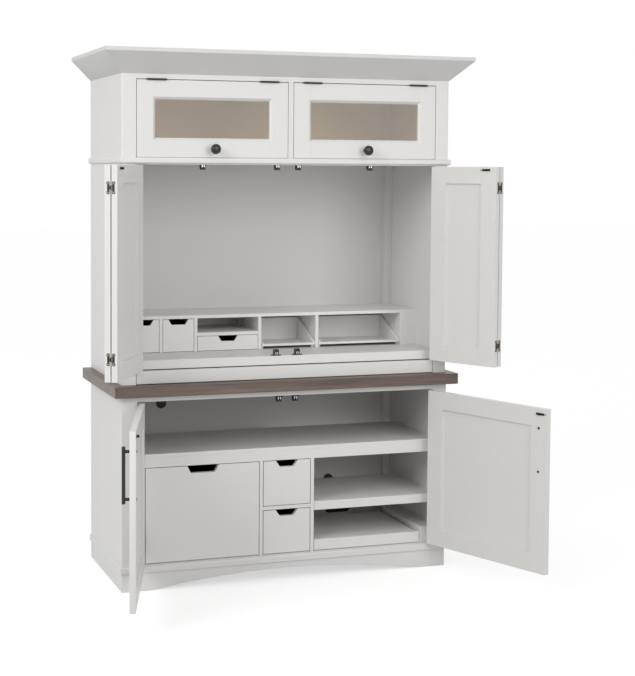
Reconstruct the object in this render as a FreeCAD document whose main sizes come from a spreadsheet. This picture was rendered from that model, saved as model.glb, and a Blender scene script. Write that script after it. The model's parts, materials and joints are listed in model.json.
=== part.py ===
import FreeCAD, Part
import math
import os
import Sketcher
from types import SimpleNamespace

# Computer armoire: a desk cabinet with a hutch on top. X runs to the right, Y to the
# back and Z up. The origin is on the floor, at the middle of the back.

Vector = FreeCAD.Vector
Rotation = FreeCAD.Rotation

# Driving sizes, in millimetres and degrees.
SIZES = {
    # the whole cabinet
    "overall_width": 1371.6,
    "overall_depth": 571.5,
    "overall_height": 1879.6,
    "crown_projection": 71.5,
    "base_depth": 506,
    "counter_height": 723,
    "counter_thickness": 39,
    "counter_front_overhang": 36,
    "counter_side_overhang": 32,
    # boards and frames
    "side_thickness": 19,
    "frame_thickness": 22,
    "base_stile_width": 55,
    "hutch_stile_width": 51.5,
    "stile_round": 5.5,
    "board": 19,
    "thin_board": 13,
    "back_thickness": 6,
    "back_inset": 4,
    "inside_clearance": 1.5,
    "fit_gap": 1,
    # plinth
    "plinth_height": 65,
    "cap_height": 22,
    "cap_projection": 5,
    "cap_round": 3.5,
    "arch_shoulder": 52,
    "arch_rise": 41,
    # inside of the base
    "base_top_rail": 20,
    "stretcher_height": 24,
    "stretcher_depth": 60,
    "post_width": 28,
    "upper_bay_height": 209.5,
    "deck_rail_height": 34.5,
    "deck_cable_gap": 82,
    "middle_bay_width": 182,
    "lower_drawer_opening": 161.5,
    "filler_left": 69.3,
    "filler_right": 70.3,
    "filler_right_height": 59,
    "spacer_height": 44,
    "shelf_rise": 181.5,
    "shelf_thickness": 16,
    "shelf_nosing": 32,
    "shelf_depth": 372,
    "support_metal": 1.5,
    "support_reach": 9,
    "support_drop": 12,
    "support_width": 8,
    "support_setback": 36,
    "cable_hole": 40,
    "left_hole_x": 344,
    "left_hole_rise": 101.5,
    "right_hole_x": 342,
    "right_hole_rise": 156,
    "cable_slot_width": 100,
    "cable_slot_height": 50,
    "cable_slot_round": 12.5,
    "cable_slot_x": 383,
    "cable_slot_rise": 18,
    # drawers
    "drawer_reveal": 2.2,
    "drawer_side": 12,
    "drawer_bottom": 6,
    "drawer_lift": 4,
    "glide_clearance": 0.4,
    "file_box_drop": 34,
    "small_box_drop": 30,
    "drawer_depth": 400,
    "small_drawer_depth": 330,
    "file_notch_top": 115,
    "file_notch_bottom": 89,
    "file_notch_depth": 25.4,
    "small_notch_top": 84,
    "small_notch_bottom": 53,
    "small_notch_depth": 23,
    "notch_round": 6,
    "slide_height": 35,
    "slide_thickness": 12.7,
    "slide_metal": 1.5,
    "slide_clearance": 0.3,
    "slide_length": 400,
    "slide_setback": 4,
    "file_slide_rise": 53,
    "tray_front_height": 39,
    "tray_thickness": 12,
    "tray_depth": 344,
    "tray_slide_length": 340,
    # hutch
    "hutch_top_drop": 29.6,
    "top_panel_drop": 70.6,
    "glass_opening_drop": 101.6,
    "glass_opening_height": 270,
    "mid_rail_height": 23,
    "mullion": 19,
    "belt_drop": 20,
    "belt_height": 21,
    "belt_projection": 8.5,
    "belt_round": 6,
    "crown_height": 84.6,
    "crown_board": 22.6,
    "crown_fascia": 13.1,
    "crown_top_width": 9.5,
    "surface_rise": 81,
    "surface_nosing": 32,
    "keyboard_lift": 2,
    "keyboard_front_height": 44.5,
    "keyboard_box_height": 37,
    # organizer on the work surface
    "organizer_height": 133,
    "organizer_board": 12,
    "organizer_depth": 277,
    "organizer_left_filler": 55.3,
    "organizer_right_filler": 67.3,
    "letter_drawer_width": 119,
    "slot_width": 235,
    "tray_bay_width": 214,
    "slot_shelf_rise": 68,
    "organizer_reveal": 1.5,
    "organizer_box_setback": 12,
    "organizer_front": 11,
    "organizer_side": 8,
    "organizer_notch_top": 75,
    "organizer_notch_bottom": 51,
    "organizer_notch_depth": 20,
    "letter_tray_lift": 10,
    "letter_tray_floor": 5,
    "letter_tray_side": 9,
    "letter_tray_setback": 3,
    "letter_tray_lip": 19,
    "letter_tray_back": 98,
    "letter_tray_depth": 185,
    # doors
    "door_thickness": 20,
    "door_gap": 2.4,
    "door_meeting_gap": 3,
    "door_lip": 8,
    "door_bevel": 9,
    "door_panel": 6,
    "glass": 4,
    "base_door_lift": 4,
    "base_door_stile": 70,
    "base_door_rail": 64,
    "base_left_angle": 107,
    "base_right_angle": 111,
    "bifold_lift": 3,
    "bifold_stile": 66,
    "bifold_rail": 61,
    "bifold_left_angle": 121,
    "bifold_right_angle": 116.5,
    "fold_angle": 180,
    "fold_shift": 10,
    "glass_reveal": 1.9,
    "glass_door_member": 67,
    # hinges, handles and catches
    "hinge_leaf": 1,
    "hinge_leaf_width": 14,
    "hinge_bore_clearance": 0.05,
    "hinge_end_gap": 0.3,
    "knuckle_clearance": 0.3,
    "stile_knuckle": 6.8,
    "stile_pin": 3,
    "stile_ear": 4.4,
    "stile_hinge_height": 63,
    "glass_hinge_length": 74,
    "fold_knuckle": 3,
    "fold_knuckle_length": 14,
    "fold_pin": 1.5,
    "fold_ear": 2.2,
    "fold_hinge_height": 42,
    "wing_setback": 4,
    "wing_width": 11,
    "glass_hinge_inset": 70,
    "base_hinge_inset": 90,
    "bifold_hinge_inset": 110,
    "fold_hinge_inset": 75,
    "knob": 36,
    "knob_neck": 13,
    "knob_neck_length": 19,
    "knob_flare": 9,
    "knob_rim": 8,
    "knob_rise": 31,
    "pull_length": 180,
    "pull_post_spacing": 150,
    "pull_bar": 11,
    "pull_reach": 26,
    "pull_post": 9,
    "pull_inset": 35,
    "pull_drop": 143.6,
    "catch_plate_width": 38,
    "catch_plate_thickness": 2,
    "catch_height": 22,
    "catch_depth": 18,
    "catch_jaw": 7.5,
    "catch_mouth": 6,
    "base_catch_x": 31,
    "upper_catch_x": 40,
    "inner_catch_setback": 45,
    "strike_width": 35,
    "strike_height": 8,
    "strike_thickness": 1.2,
    "strike_tongue": 8,
    "tongue_thickness": 3,
}


class Size:
    """A size worked out from the sheet: its value now, and its expression."""

    def __init__(self, value, text):
        self.value = float(value)
        self.text = text

    def __add__(self, other):
        other = as_size(other)
        return Size(self.value + other.value, "(%s + %s)" % (self.text, other.text))

    def __sub__(self, other):
        other = as_size(other)
        return Size(self.value - other.value, "(%s - %s)" % (self.text, other.text))

    def __mul__(self, other):
        other = as_size(other)
        return Size(self.value * other.value, "(%s * %s)" % (self.text, other.text))

    def __truediv__(self, other):
        other = as_size(other)
        return Size(self.value / other.value, "(%s / %s)" % (self.text, other.text))

    def __radd__(self, other):
        return as_size(other) + self

    def __rsub__(self, other):
        return as_size(other) - self

    def __rmul__(self, other):
        return as_size(other) * self

    def __neg__(self):
        return Size(-self.value, "(-%s)" % self.text)


def as_size(value):
    return value if isinstance(value, Size) else Size(value, repr(float(value)))


doc = FreeCAD.newDocument("computer_armoire")
sheet = doc.addObject("Spreadsheet::Sheet", "Sizes")
for row, (word, number) in enumerate(SIZES.items(), start=1):
    sheet.set("A%d" % row, word)
    sheet.set("B%d" % row, str(number))
    sheet.setAlias("B%d" % row, word)
doc.recompute()
s = SimpleNamespace(**{word: Size(number, "Sizes." + word) for word, number in SIZES.items()})

subparts = []

LEFT = -1
RIGHT = 1
SIDES = ((LEFT, "left"), (RIGHT, "right"))

POINT_TOLERANCE = 1e-4

# Origin planes: a sketch's two coordinates in each, and the axis that a pad runs along.
PLANES = {
    "x": ("YZ_Plane", "yz"),
    "y": ("XZ_Plane", "xz"),
    "z": ("XY_Plane", "xy"),
}


# ------------------------------------------------------------------- operations
def bind(obj, prop, size):
    obj.setExpression(prop, as_size(size).text)


def place(obj, spot):
    for axis, size in zip("xyz", spot):
        bind(obj, "Placement.Base." + axis, size)


def block(name, corner, opposite):
    """A rectangular board between two opposite corners, given in any order."""
    board = doc.addObject("Part::Box", name)
    low = []
    for prop, first, second in zip(("Length", "Width", "Height"), corner, opposite):
        first, second = as_size(first), as_size(second)
        if first.value > second.value:
            first, second = second, first
        bind(board, prop, second - first)
        low.append(first)
    place(board, low)
    return board


def rod(name, axis, start, length, diameter):
    """A round rod from its start point along an axis; it runs to the front on y."""
    turns = {"x": (Vector(0, 1, 0), 90), "y": (Vector(1, 0, 0), 90), "z": (Vector(0, 0, 1), 0)}
    cylinder = doc.addObject("Part::Cylinder", name)
    cylinder.Placement = FreeCAD.Placement(Vector(), Rotation(*turns[axis]))
    bind(cylinder, "Radius", diameter / 2)
    bind(cylinder, "Height", length)
    place(cylinder, start)
    return cylinder


def closed_sketch(body, name, plane_name, outline):
    """A fully constrained sketch of straight lines through the outline's points."""
    sketch = body.newObject("Sketcher::SketchObject", name)
    plane = [item for item in body.Origin.OriginFeatures if item.Role == plane_name][0]
    sketch.AttachmentSupport = [(plane, "")]
    sketch.MapMode = "FlatFace"
    points = [Vector(across.value, up.value, 0) for across, up in outline]
    following = points[1:] + points[:1]
    lines = [sketch.addGeometry(Part.LineSegment(*ends), False)
             for ends in zip(points, following)]
    for line, after in zip(lines, lines[1:] + lines[:1]):
        sketch.addConstraint(Sketcher.Constraint("Coincident", line, 2, after, 1))
    for line, spot in zip(lines, outline):
        for kind, size in zip(("DistanceX", "DistanceY"), spot):
            index = sketch.addConstraint(Sketcher.Constraint(kind, -1, 1, line, 1, size.value))
            sketch.setExpression("Constraints[%d]" % index, size.text)
    return sketch


def extrusion(name, axis, outline, low, high, rounded=(), radius=None):
    """A body with the given outline from low to high along an axis, some corners rounded."""
    plane_name, shown = PLANES[axis]
    outline = [(as_size(across), as_size(up)) for across, up in outline]
    low, high = as_size(low), as_size(high)
    body = doc.addObject("PartDesign::Body", name)
    pad = body.newObject("PartDesign::Pad", name + "_pad")
    pad.Profile = closed_sketch(body, name + "_outline", plane_name, outline)
    bind(pad, "Length", high - low)
    if rounded:
        doc.recompute()
        fillet = body.newObject("PartDesign::Fillet", name + "_round")
        fillet.Base = (pad, edges_along(pad, shown, [outline[index] for index in rounded]))
        bind(fillet, "Radius", radius)
    # a pad on the XZ plane runs to the front
    bind(body, "Placement.Base." + axis, high if axis == "y" else low)
    return body


def edges_along(pad, shown, corners):
    """Names of the pad's edges that start from the given corners of its outline."""
    names = []
    for number, edge in enumerate(pad.Shape.Edges, start=1):
        for across, up in corners:
            corner = (across.value, up.value)
            ends = [[getattr(vertex.Point, axis) for axis in shown] for vertex in edge.Vertexes]
            if len(ends) == 2 and all(math.dist(end, corner) < POINT_TOLERANCE for end in ends):
                names.append("Edge%d" % number)
    return names


def cut(name, base, *tools):
    for number, tool in enumerate(tools, start=1):
        result = doc.addObject("Part::Cut", "%s_cut%d" % (name, number))
        result.Base = base
        result.Tool = tool
        base = result
    return base


def fuse(name, *pieces):
    result = doc.addObject("Part::MultiFuse", name)
    result.Shapes = pieces
    return result


def common(name, *pieces):
    result = doc.addObject("Part::MultiCommon", name)
    result.Shapes = pieces
    return result


def subpart(label, *pieces):
    """A named sub-part of one or more solids."""
    result = doc.addObject("Part::Compound", label)
    result.Links = list(pieces)
    subparts.append(result)
    return result


def turned_group(name, pieces, spot, angle):
    """Pieces drawn about a pin and turned by an angle about it, seen from above."""
    group = doc.addObject("Part::Compound", name)
    group.Links = list(pieces)
    group.Placement = FreeCAD.Placement(Vector(), Rotation(Vector(0, 0, 1), 1))
    bind(group, "Placement.Rotation.Angle", angle)
    place(group, spot)
    return group


def mitred_lengths(name, section, projection, front, rounded=(), radius=None):
    """A moulding round the front and both sides, in three lengths with mitred corners.

    section holds (distance out from the cabinet, level) points."""
    lowest = min((level for out, level in section), key=lambda size: as_size(size).value)
    highest = max((level for out, level in section), key=lambda size: as_size(size).value)
    lengths = []
    front_run = extrusion(name + "_front_run", "x", [(front - out, level) for out, level in section],
                          -half - projection, half + projection, rounded, radius)
    plan = [(-half - projection, front - projection), (half + projection, front - projection),
            (half, front), (-half, front)]
    region = extrusion(name + "_front_plan", "z", plan, lowest, highest)
    lengths.append(common(name + "_front", front_run, region))
    for hand, side in SIDES:
        run = extrusion("%s_%s_run" % (name, side), "y",
                        [(hand * (half + out), level) for out, level in section],
                        front - projection, 0, rounded, radius)
        plan = [(hand * half, front), (hand * (half + projection), front - projection),
                (hand * (half + projection), 0), (hand * half, 0)]
        region = extrusion("%s_%s_plan" % (name, side), "z", plan, lowest, highest)
        lengths.append(common("%s_%s" % (name, side), run, region))
    return lengths


# ------------------------------------------------------------- main lines and levels
half = s.overall_width / 2 - s.crown_projection
inner = half - s.side_thickness
base_opening = half - s.base_stile_width
hutch_opening = half - s.hutch_stile_width
base_front = -s.base_depth
base_frame_back = base_front + s.frame_thickness
base_inside = base_frame_back + s.inside_clearance
front_board_back = base_inside + s.board
hutch_front = s.crown_projection - s.overall_depth
hutch_frame_back = hutch_front + s.frame_thickness
hutch_inside = hutch_frame_back + s.inside_clearance
back_rear = -s.back_inset
back_face = back_rear - s.back_thickness
# the base, upward
cap_top = s.plinth_height + s.cap_height
base_top = s.counter_height - s.counter_thickness
deck_level = base_top - s.upper_bay_height
deck_bottom = deck_level - s.thin_board
deck_rail_bottom = deck_bottom - s.deck_rail_height
deck_back = back_face - s.deck_cable_gap
divider_inner = s.middle_bay_width / 2
divider_outer = divider_inner + s.thin_board
bay_left = s.filler_left - inner
bay_right = inner - s.filler_right
drawer_shelf_bottom = cap_top + s.lower_drawer_opening
drawer_shelf_level = drawer_shelf_bottom + s.thin_board
shelf_level = cap_top + s.shelf_rise
shelf_bottom = shelf_level - s.shelf_thickness
shelf_back = base_inside + s.shelf_depth
file_slide_level = cap_top + s.file_slide_rise
# the hutch, downward from the crown
hutch_top = s.overall_height - s.hutch_top_drop
top_panel_level = s.overall_height - s.top_panel_drop
crown_bottom = s.overall_height - s.crown_height
glass_opening_top = s.overall_height - s.glass_opening_drop
mid_rail_top = glass_opening_top - s.glass_opening_height
mid_rail_bottom = mid_rail_top - s.mid_rail_height
mid_shelf_bottom = mid_rail_top - s.board
belt_bottom = mid_rail_top - s.belt_drop
belt_top = belt_bottom + s.belt_height
# the hutch, upward from the counter
keyboard_bottom = s.counter_height + s.keyboard_lift
keyboard_top = keyboard_bottom + s.keyboard_front_height
surface_level = s.counter_height + s.surface_rise
surface_bottom = surface_level - s.board
surface_nosing_back = hutch_inside + s.board
slot_shelf_level = surface_level + s.slot_shelf_rise
slot_shelf_bottom = slot_shelf_level - s.organizer_board
organizer_top = surface_level + s.organizer_height
organizer_under = organizer_top - s.organizer_board
organizer_front = -s.organizer_depth


# ------------------------------------------------------------------------- base
def base_case():
    for hand, side in SIDES:
        subpart("base_side_" + side,
                block("base_side_board_" + side,
                      (hand * inner, base_frame_back, 0), (hand * half, 0, base_top)))
    panel = block("base_back_board", (-inner, back_face, s.plinth_height), (inner, back_rear, base_top))
    holes = [rod("left_cable_hole", "y", (-s.left_hole_x, back_rear, deck_level + s.left_hole_rise),
                 s.back_thickness, s.cable_hole),
             rod("right_cable_hole", "y", (s.right_hole_x, back_rear, cap_top + s.right_hole_rise),
                 s.back_thickness, s.cable_hole)]
    left, right = s.cable_slot_x - s.cable_slot_width / 2, s.cable_slot_x + s.cable_slot_width / 2
    bottom = cap_top + s.cable_slot_rise
    top = bottom + s.cable_slot_height
    slot = extrusion("cable_slot", "y", [(left, bottom), (right, bottom), (right, top), (left, top)],
                     back_face, back_rear, (0, 1, 2, 3), s.cable_slot_round)
    subpart("base_back_panel", cut("base_back_panel", panel, *holes, slot))
    subpart("base_bottom_panel",
            block("base_bottom_board",
                  (-inner, base_frame_back, cap_top - s.board), (inner, back_face, cap_top)))


def base_frame():
    stiles = [block("base_stile_" + side,
                    (hand * base_opening, base_front, 0), (hand * half, base_frame_back, base_top))
              for hand, side in SIDES]
    top_rail = block("base_top_rail_board", (-base_opening, base_front, base_top - s.base_top_rail),
                     (base_opening, base_frame_back, base_top))
    bottom_rail = block("base_bottom_rail", (-base_opening, base_front, s.plinth_height),
                        (base_opening, base_frame_back, cap_top))
    stretcher = block("base_stretcher", (-inner, base_frame_back, base_top - s.stretcher_height),
                      (inner, base_frame_back + s.stretcher_depth, base_top))
    subpart("base_face_frame", *stiles, top_rail, bottom_rail, stretcher)
    # the underside of the plinth is a shallow arc between two square shoulders
    arch_half = base_opening - s.arch_shoulder
    arch_radius = (arch_half * arch_half + s.arch_rise * s.arch_rise) / (2 * s.arch_rise)
    plinth = block("plinth_board", (-base_opening, base_front, 0),
                   (base_opening, base_frame_back, s.plinth_height))
    arch = rod("plinth_arch", "y", (0, base_frame_back, s.arch_rise - arch_radius),
               s.frame_thickness, 2 * arch_radius)
    subpart("base_valance", cut("base_valance", plinth, arch))
    section = [(0, s.plinth_height), (s.cap_projection, s.plinth_height),
               (s.cap_projection, cap_top), (0, cap_top)]
    subpart("base_cap_moulding",
            *mitred_lengths("base_cap", section, s.cap_projection, base_front, (2,), s.cap_round))


def back_framing():
    rail = block("back_kick_rail", (-inner, -s.board, 0), (inner, 0, s.plinth_height))
    posts = []
    for hand, side in SIDES:
        near = inner - s.post_width
        front = back_face - s.post_width
        for name, low, high in (("base_post_", cap_top, base_top),
                                ("hutch_post_", organizer_top, mid_shelf_bottom)):
            posts.append(block(name + side, (hand * near, front, low), (hand * inner, back_face, high)))
    subpart("back_framing", rail, *posts)


def base_fittings():
    subpart("base_deck",
            block("deck_board", (-inner, base_inside, deck_bottom), (inner, deck_back, deck_level)))
    subpart("base_deck_rail",
            block("deck_rail", (-inner, base_inside, deck_rail_bottom),
                  (inner, front_board_back, deck_bottom)))
    # each divider is notched at its top front corner to let the deck rail pass
    outline = [(base_inside, cap_top), (deck_back, cap_top), (deck_back, deck_bottom),
               (front_board_back, deck_bottom), (front_board_back, deck_rail_bottom),
               (base_inside, deck_rail_bottom)]
    dividers = [extrusion("divider_left", "x", outline, -divider_outer, -divider_inner),
                extrusion("divider_right", "x", outline, divider_inner, divider_outer)]
    drawer_shelf = block("drawer_shelf_board", (-divider_inner, base_inside, drawer_shelf_bottom),
                         (divider_inner, deck_back, drawer_shelf_level))
    subpart("base_dividers", *dividers, drawer_shelf)
    left, right = divider_outer + s.fit_gap, inner - s.fit_gap
    nosing = block("shelf_nosing_board", (left, base_inside, shelf_level - s.shelf_nosing),
                   (right, front_board_back, shelf_level))
    board = block("shelf_board", (left, front_board_back, shelf_bottom), (right, shelf_back, shelf_level))
    subpart("adjustable_shelf", nosing, board)
    subpart("shelf_pins", *shelf_supports())
    file_filler = block("file_filler", (-inner, base_inside, cap_top),
                        (bay_left, front_board_back, deck_rail_bottom))
    cleat_back = front_board_back + s.slide_setback + s.slide_length
    file_cleat = block("file_cleat", (-inner, front_board_back, file_slide_level - s.spacer_height / 2),
                       (bay_left, cleat_back, file_slide_level + s.spacer_height / 2))
    tray_block = block("tray_block", (bay_right, base_inside, cap_top),
                       (inner, base_inside + s.tray_depth, cap_top + s.filler_right_height))
    subpart("slide_spacers", file_filler, file_cleat, tray_block)


def shelf_supports():
    """Four angles under the shelf, each with a leg up a wall and a leg under the board."""
    supports = []
    rows = (("front", front_board_back + s.support_setback),
            ("back", shelf_back - s.support_setback - s.support_width))
    for hand, wall, side in ((RIGHT, divider_outer, "left"), (LEFT, inner, "right")):
        leg = wall + hand * s.support_metal
        reach = wall + hand * s.support_reach
        tongue_bottom = shelf_bottom - s.support_metal
        outline = [(wall, shelf_bottom - s.support_drop), (leg, shelf_bottom - s.support_drop),
                   (leg, tongue_bottom), (reach, tongue_bottom), (reach, shelf_bottom), (wall, shelf_bottom)]
        for row, front in rows:
            supports.append(extrusion("shelf_support_%s_%s" % (row, side), "y", outline,
                                      front, front + s.support_width))
    return supports


# ------------------------------------------------------------------------ hutch
def countertop():
    reach = half + s.counter_side_overhang
    subpart("countertop",
            block("counter_board", (-reach, base_front - s.counter_front_overhang, base_top),
                  (reach, 0, s.counter_height)))


def hutch_case():
    pieces = []
    for hand, side in SIDES:
        subpart("hutch_side_" + side,
                block("hutch_side_board_" + side, (hand * inner, hutch_frame_back, s.counter_height),
                      (hand * half, 0, hutch_top)))
        plan = [(hand * half, hutch_front), (hand * half, hutch_frame_back),
                (hand * hutch_opening, hutch_frame_back), (hand * hutch_opening, hutch_front)]
        pieces.append(extrusion("hutch_stile_" + side, "z", plan, s.counter_height, hutch_top,
                                (0,), s.stile_round))
        # a block behind each stile carries the keyboard drawer's slide
        pieces.append(block("keyboard_block_" + side,
                            (hand * hutch_opening, hutch_frame_back, s.counter_height),
                            (hand * inner, hutch_frame_back + s.slide_setback + s.slide_length,
                             s.counter_height + s.spacer_height)))
    subpart("hutch_back_panel",
            block("hutch_back_board", (-inner, back_face, s.counter_height), (inner, back_rear, hutch_top)))
    top_rail = block("hutch_top_rail", (-hutch_opening, hutch_front, glass_opening_top),
                     (hutch_opening, hutch_frame_back, hutch_top))
    mid_rail = block("hutch_mid_rail", (-hutch_opening, hutch_front, mid_rail_bottom),
                     (hutch_opening, hutch_frame_back, mid_rail_top))
    mullion = block("hutch_mullion", (-s.mullion / 2, hutch_front, mid_rail_top),
                    (s.mullion / 2, hutch_frame_back, glass_opening_top))
    subpart("hutch_face_frame", *pieces, top_rail, mid_rail, mullion)
    subpart("hutch_mid_shelf",
            block("mid_shelf_board", (-inner, hutch_frame_back, mid_shelf_bottom),
                  (inner, back_face, mid_rail_top)))
    subpart("hutch_top_panel",
            block("top_panel_board", (-inner, hutch_frame_back, top_panel_level - s.board),
                  (inner, back_face, top_panel_level)))


def work_surface():
    nosing = block("surface_nosing_board", (-inner, hutch_inside, surface_level - s.surface_nosing),
                   (inner, surface_nosing_back, surface_level))
    board = block("surface_board", (-inner, surface_nosing_back, surface_bottom),
                  (inner, back_face, surface_level))
    subpart("work_surface", nosing, board)


def mouldings():
    section = [(0, belt_bottom), (s.belt_projection, belt_bottom), (s.belt_projection, belt_top),
               (0, belt_top)]
    subpart("belt_moulding",
            *mitred_lengths("belt", section, s.belt_projection, hutch_front, (1, 2), s.belt_round))
    # the crown leans out at 45 degrees and ends in an upright fascia
    top = s.overall_height
    slope_top = top - s.crown_fascia
    slope_out = s.crown_projection - s.crown_top_width
    section = [(0, crown_bottom), (s.crown_projection, slope_top), (s.crown_projection, top),
               (slope_out, top), (0, crown_bottom + s.crown_board)]
    subpart("crown_moulding", *mitred_lengths("crown", section, s.crown_projection, hutch_front))


# -------------------------------------------------------------------- organizer
column_1 = s.organizer_left_filler - inner
column_2 = column_1 + s.letter_drawer_width + s.organizer_board
column_3 = column_2 + s.letter_drawer_width + s.organizer_board
column_4 = column_3 + s.slot_width + s.organizer_board
column_5 = column_4 + s.tray_bay_width + s.organizer_board
column_end = inner - s.organizer_right_filler


def organizer_case():
    floor, thickness = surface_level, s.organizer_board

    def upright(name, left):
        return block(name, (left, organizer_front, floor), (left + thickness, back_face, organizer_under))

    def filler(name, left, right):
        return block(name, (left, organizer_front, floor),
                     (right, organizer_front + thickness, organizer_under))

    pieces = [block("organizer_top_board", (-inner, organizer_front, organizer_under),
                    (inner, back_face, organizer_top))]
    for number, right_face in enumerate((column_1, column_2, column_3, column_4, column_5), start=1):
        pieces.append(upright("organizer_divider_%d" % number, right_face - thickness))
    pieces.append(upright("organizer_divider_6", column_end))
    pieces.append(filler("organizer_filler_left", -inner, column_1 - thickness))
    pieces.append(filler("organizer_filler_right", column_end + thickness, inner))
    pieces.append(block("organizer_slot_shelf", (column_3, organizer_front, slot_shelf_bottom),
                        (column_4 - thickness, back_face, slot_shelf_level)))
    # runners lift the letter trays off the work surface
    for number, bay in enumerate(((column_4, column_5 - thickness), (column_5, column_end)), start=1):
        for hand, side, edge in ((RIGHT, "left", bay[0]), (LEFT, "right", bay[1])):
            pieces.append(block("tray_runner_%d_%s" % (number, side),
                                (edge, organizer_front + thickness, floor),
                                (edge + hand * thickness, back_face, floor + s.letter_tray_lift)))
    subpart("organizer_case", *pieces)


# ---------------------------------------------------------------------- drawers
def notched_front(name, left, right, front, back, bottom, top, notch, rounded=False):
    """A drawer front with a finger notch in the middle of its top edge."""
    wide, narrow, depth = notch
    centre = (left + right) / 2
    board = block(name + "_board", (left, front, bottom), (right, back, top))
    outline = [(centre - wide / 2, top), (centre + wide / 2, top),
               (centre + narrow / 2, top - depth), (centre - narrow / 2, top - depth)]
    lower_corners = (2, 3) if rounded else ()
    hole = extrusion(name + "_notch", "y", outline, front, back, lower_corners, s.notch_round)
    return cut(name, board, hole)


def drawer_box(name, left, right, front, back, bottom, top, side):
    """Two sides, a back and a bottom behind a drawer front."""
    floor = bottom + s.drawer_lift
    return [
        block(name + "_side_left", (left, front, bottom), (left + side, back, top)),
        block(name + "_side_right", (right - side, front, bottom), (right, back, top)),
        block(name + "_back", (left + side, back - side, bottom), (right - side, back, top)),
        block(name + "_bottom", (left + side, front, floor),
              (right - side, back - side, floor + s.drawer_bottom)),
    ]


def slide_pair(name, left_wall, right_wall, front, length, level):
    """Channels fixed to two walls, and the bars that run in them."""
    low, high = level - s.slide_height / 2, level + s.slide_height / 2
    back = front + length
    flange = s.slide_thickness - s.slide_metal
    bar_low = low + s.slide_metal + s.slide_clearance
    bar_high = high - s.slide_metal - s.slide_clearance
    channels, bars = [], []
    for hand, wall, side in ((RIGHT, left_wall, "left"), (LEFT, right_wall, "right")):
        web = wall + hand * s.slide_metal
        edge = wall + hand * flange
        outline = [(wall, low), (edge, low), (edge, low + s.slide_metal), (web, low + s.slide_metal),
                   (web, high - s.slide_metal), (edge, high - s.slide_metal), (edge, high), (wall, high)]
        channels.append(extrusion("%s_channel_%s" % (name, side), "y", outline, front, back))
        bars.append(block("%s_bar_%s" % (name, side), (web + hand * s.slide_clearance, front, bar_low),
                          (wall + hand * s.slide_thickness, back, bar_high)))
    return channels, bars


def file_drawer():
    reveal = s.drawer_reveal
    bottom, top = cap_top + reveal, deck_rail_bottom - reveal
    front = notched_front("file_front", bay_left + reveal, -divider_outer - reveal,
                          base_inside, front_board_back, bottom, top,
                          (s.file_notch_top, s.file_notch_bottom, s.file_notch_depth), rounded=True)
    box = drawer_box("file_box", bay_left + s.slide_thickness, -divider_outer - s.slide_thickness,
                     front_board_back, front_board_back + s.drawer_depth,
                     bottom + s.drawer_lift, top - s.file_box_drop, s.drawer_side)
    subpart("file_drawer", front, *box)
    channels, bars = slide_pair("file_slide", bay_left, -divider_outer,
                                front_board_back + s.slide_setback, s.slide_length, file_slide_level)
    subpart("file_drawer_slides", *bars)
    return channels


def small_drawers():
    edge = divider_inner - s.drawer_reveal
    notch = (s.small_notch_top, s.small_notch_bottom, s.small_notch_depth)
    for name, floor, ceiling in (("small_drawer_upper", drawer_shelf_level, deck_rail_bottom),
                                 ("small_drawer_lower", cap_top, drawer_shelf_bottom)):
        top = ceiling - s.drawer_reveal
        front = notched_front(name + "_front", -edge, edge, base_inside, front_board_back,
                              floor + s.drawer_reveal, top, notch, rounded=True)
        box = drawer_box(name + "_box", -edge, edge, front_board_back,
                         front_board_back + s.small_drawer_depth,
                         floor + s.glide_clearance, top - s.small_box_drop, s.drawer_side)
        subpart(name, front, *box)


def printer_tray():
    """A shallow front, a flat board and a rail under each of the board's edges."""
    bottom = cap_top + s.drawer_reveal
    top = bottom + s.tray_front_height
    board_bottom = top - s.tray_thickness
    back = base_inside + s.tray_depth
    front = block("tray_front", (divider_outer + s.drawer_reveal, base_inside, bottom),
                  (bay_right - s.drawer_reveal, front_board_back, top))
    left, right = divider_outer + s.slide_thickness, bay_right - s.slide_thickness
    board = block("tray_board", (left, front_board_back, board_bottom), (right, back, top))
    rails = [block("tray_rail_left", (left, front_board_back, bottom),
                   (left + s.drawer_side, back, board_bottom)),
             block("tray_rail_right", (right - s.drawer_side, front_board_back, bottom),
                   (right, back, board_bottom))]
    subpart("printer_tray", front, board, *rails)
    channels, bars = slide_pair("tray_slide", divider_outer, bay_right, front_board_back,
                                s.tray_slide_length, bottom + s.slide_height / 2)
    subpart("printer_tray_slides", *bars)
    return channels


def keyboard_drawer():
    edge = hutch_opening - s.drawer_reveal
    front = block("keyboard_front", (-edge, hutch_front, keyboard_bottom),
                  (edge, hutch_frame_back, keyboard_top))
    box_edge = hutch_opening - s.slide_thickness
    bottom = keyboard_bottom + s.drawer_lift
    box = drawer_box("keyboard_box", -box_edge, box_edge, hutch_frame_back,
                     hutch_frame_back + s.drawer_depth, bottom, bottom + s.keyboard_box_height,
                     s.drawer_side)
    subpart("keyboard_drawer", front, *box)
    channels, bars = slide_pair("keyboard_slide", -hutch_opening, hutch_opening,
                                hutch_frame_back + s.slide_setback, s.slide_length,
                                bottom + s.keyboard_box_height / 2)
    subpart("keyboard_drawer_slides", *bars)
    return channels


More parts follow.
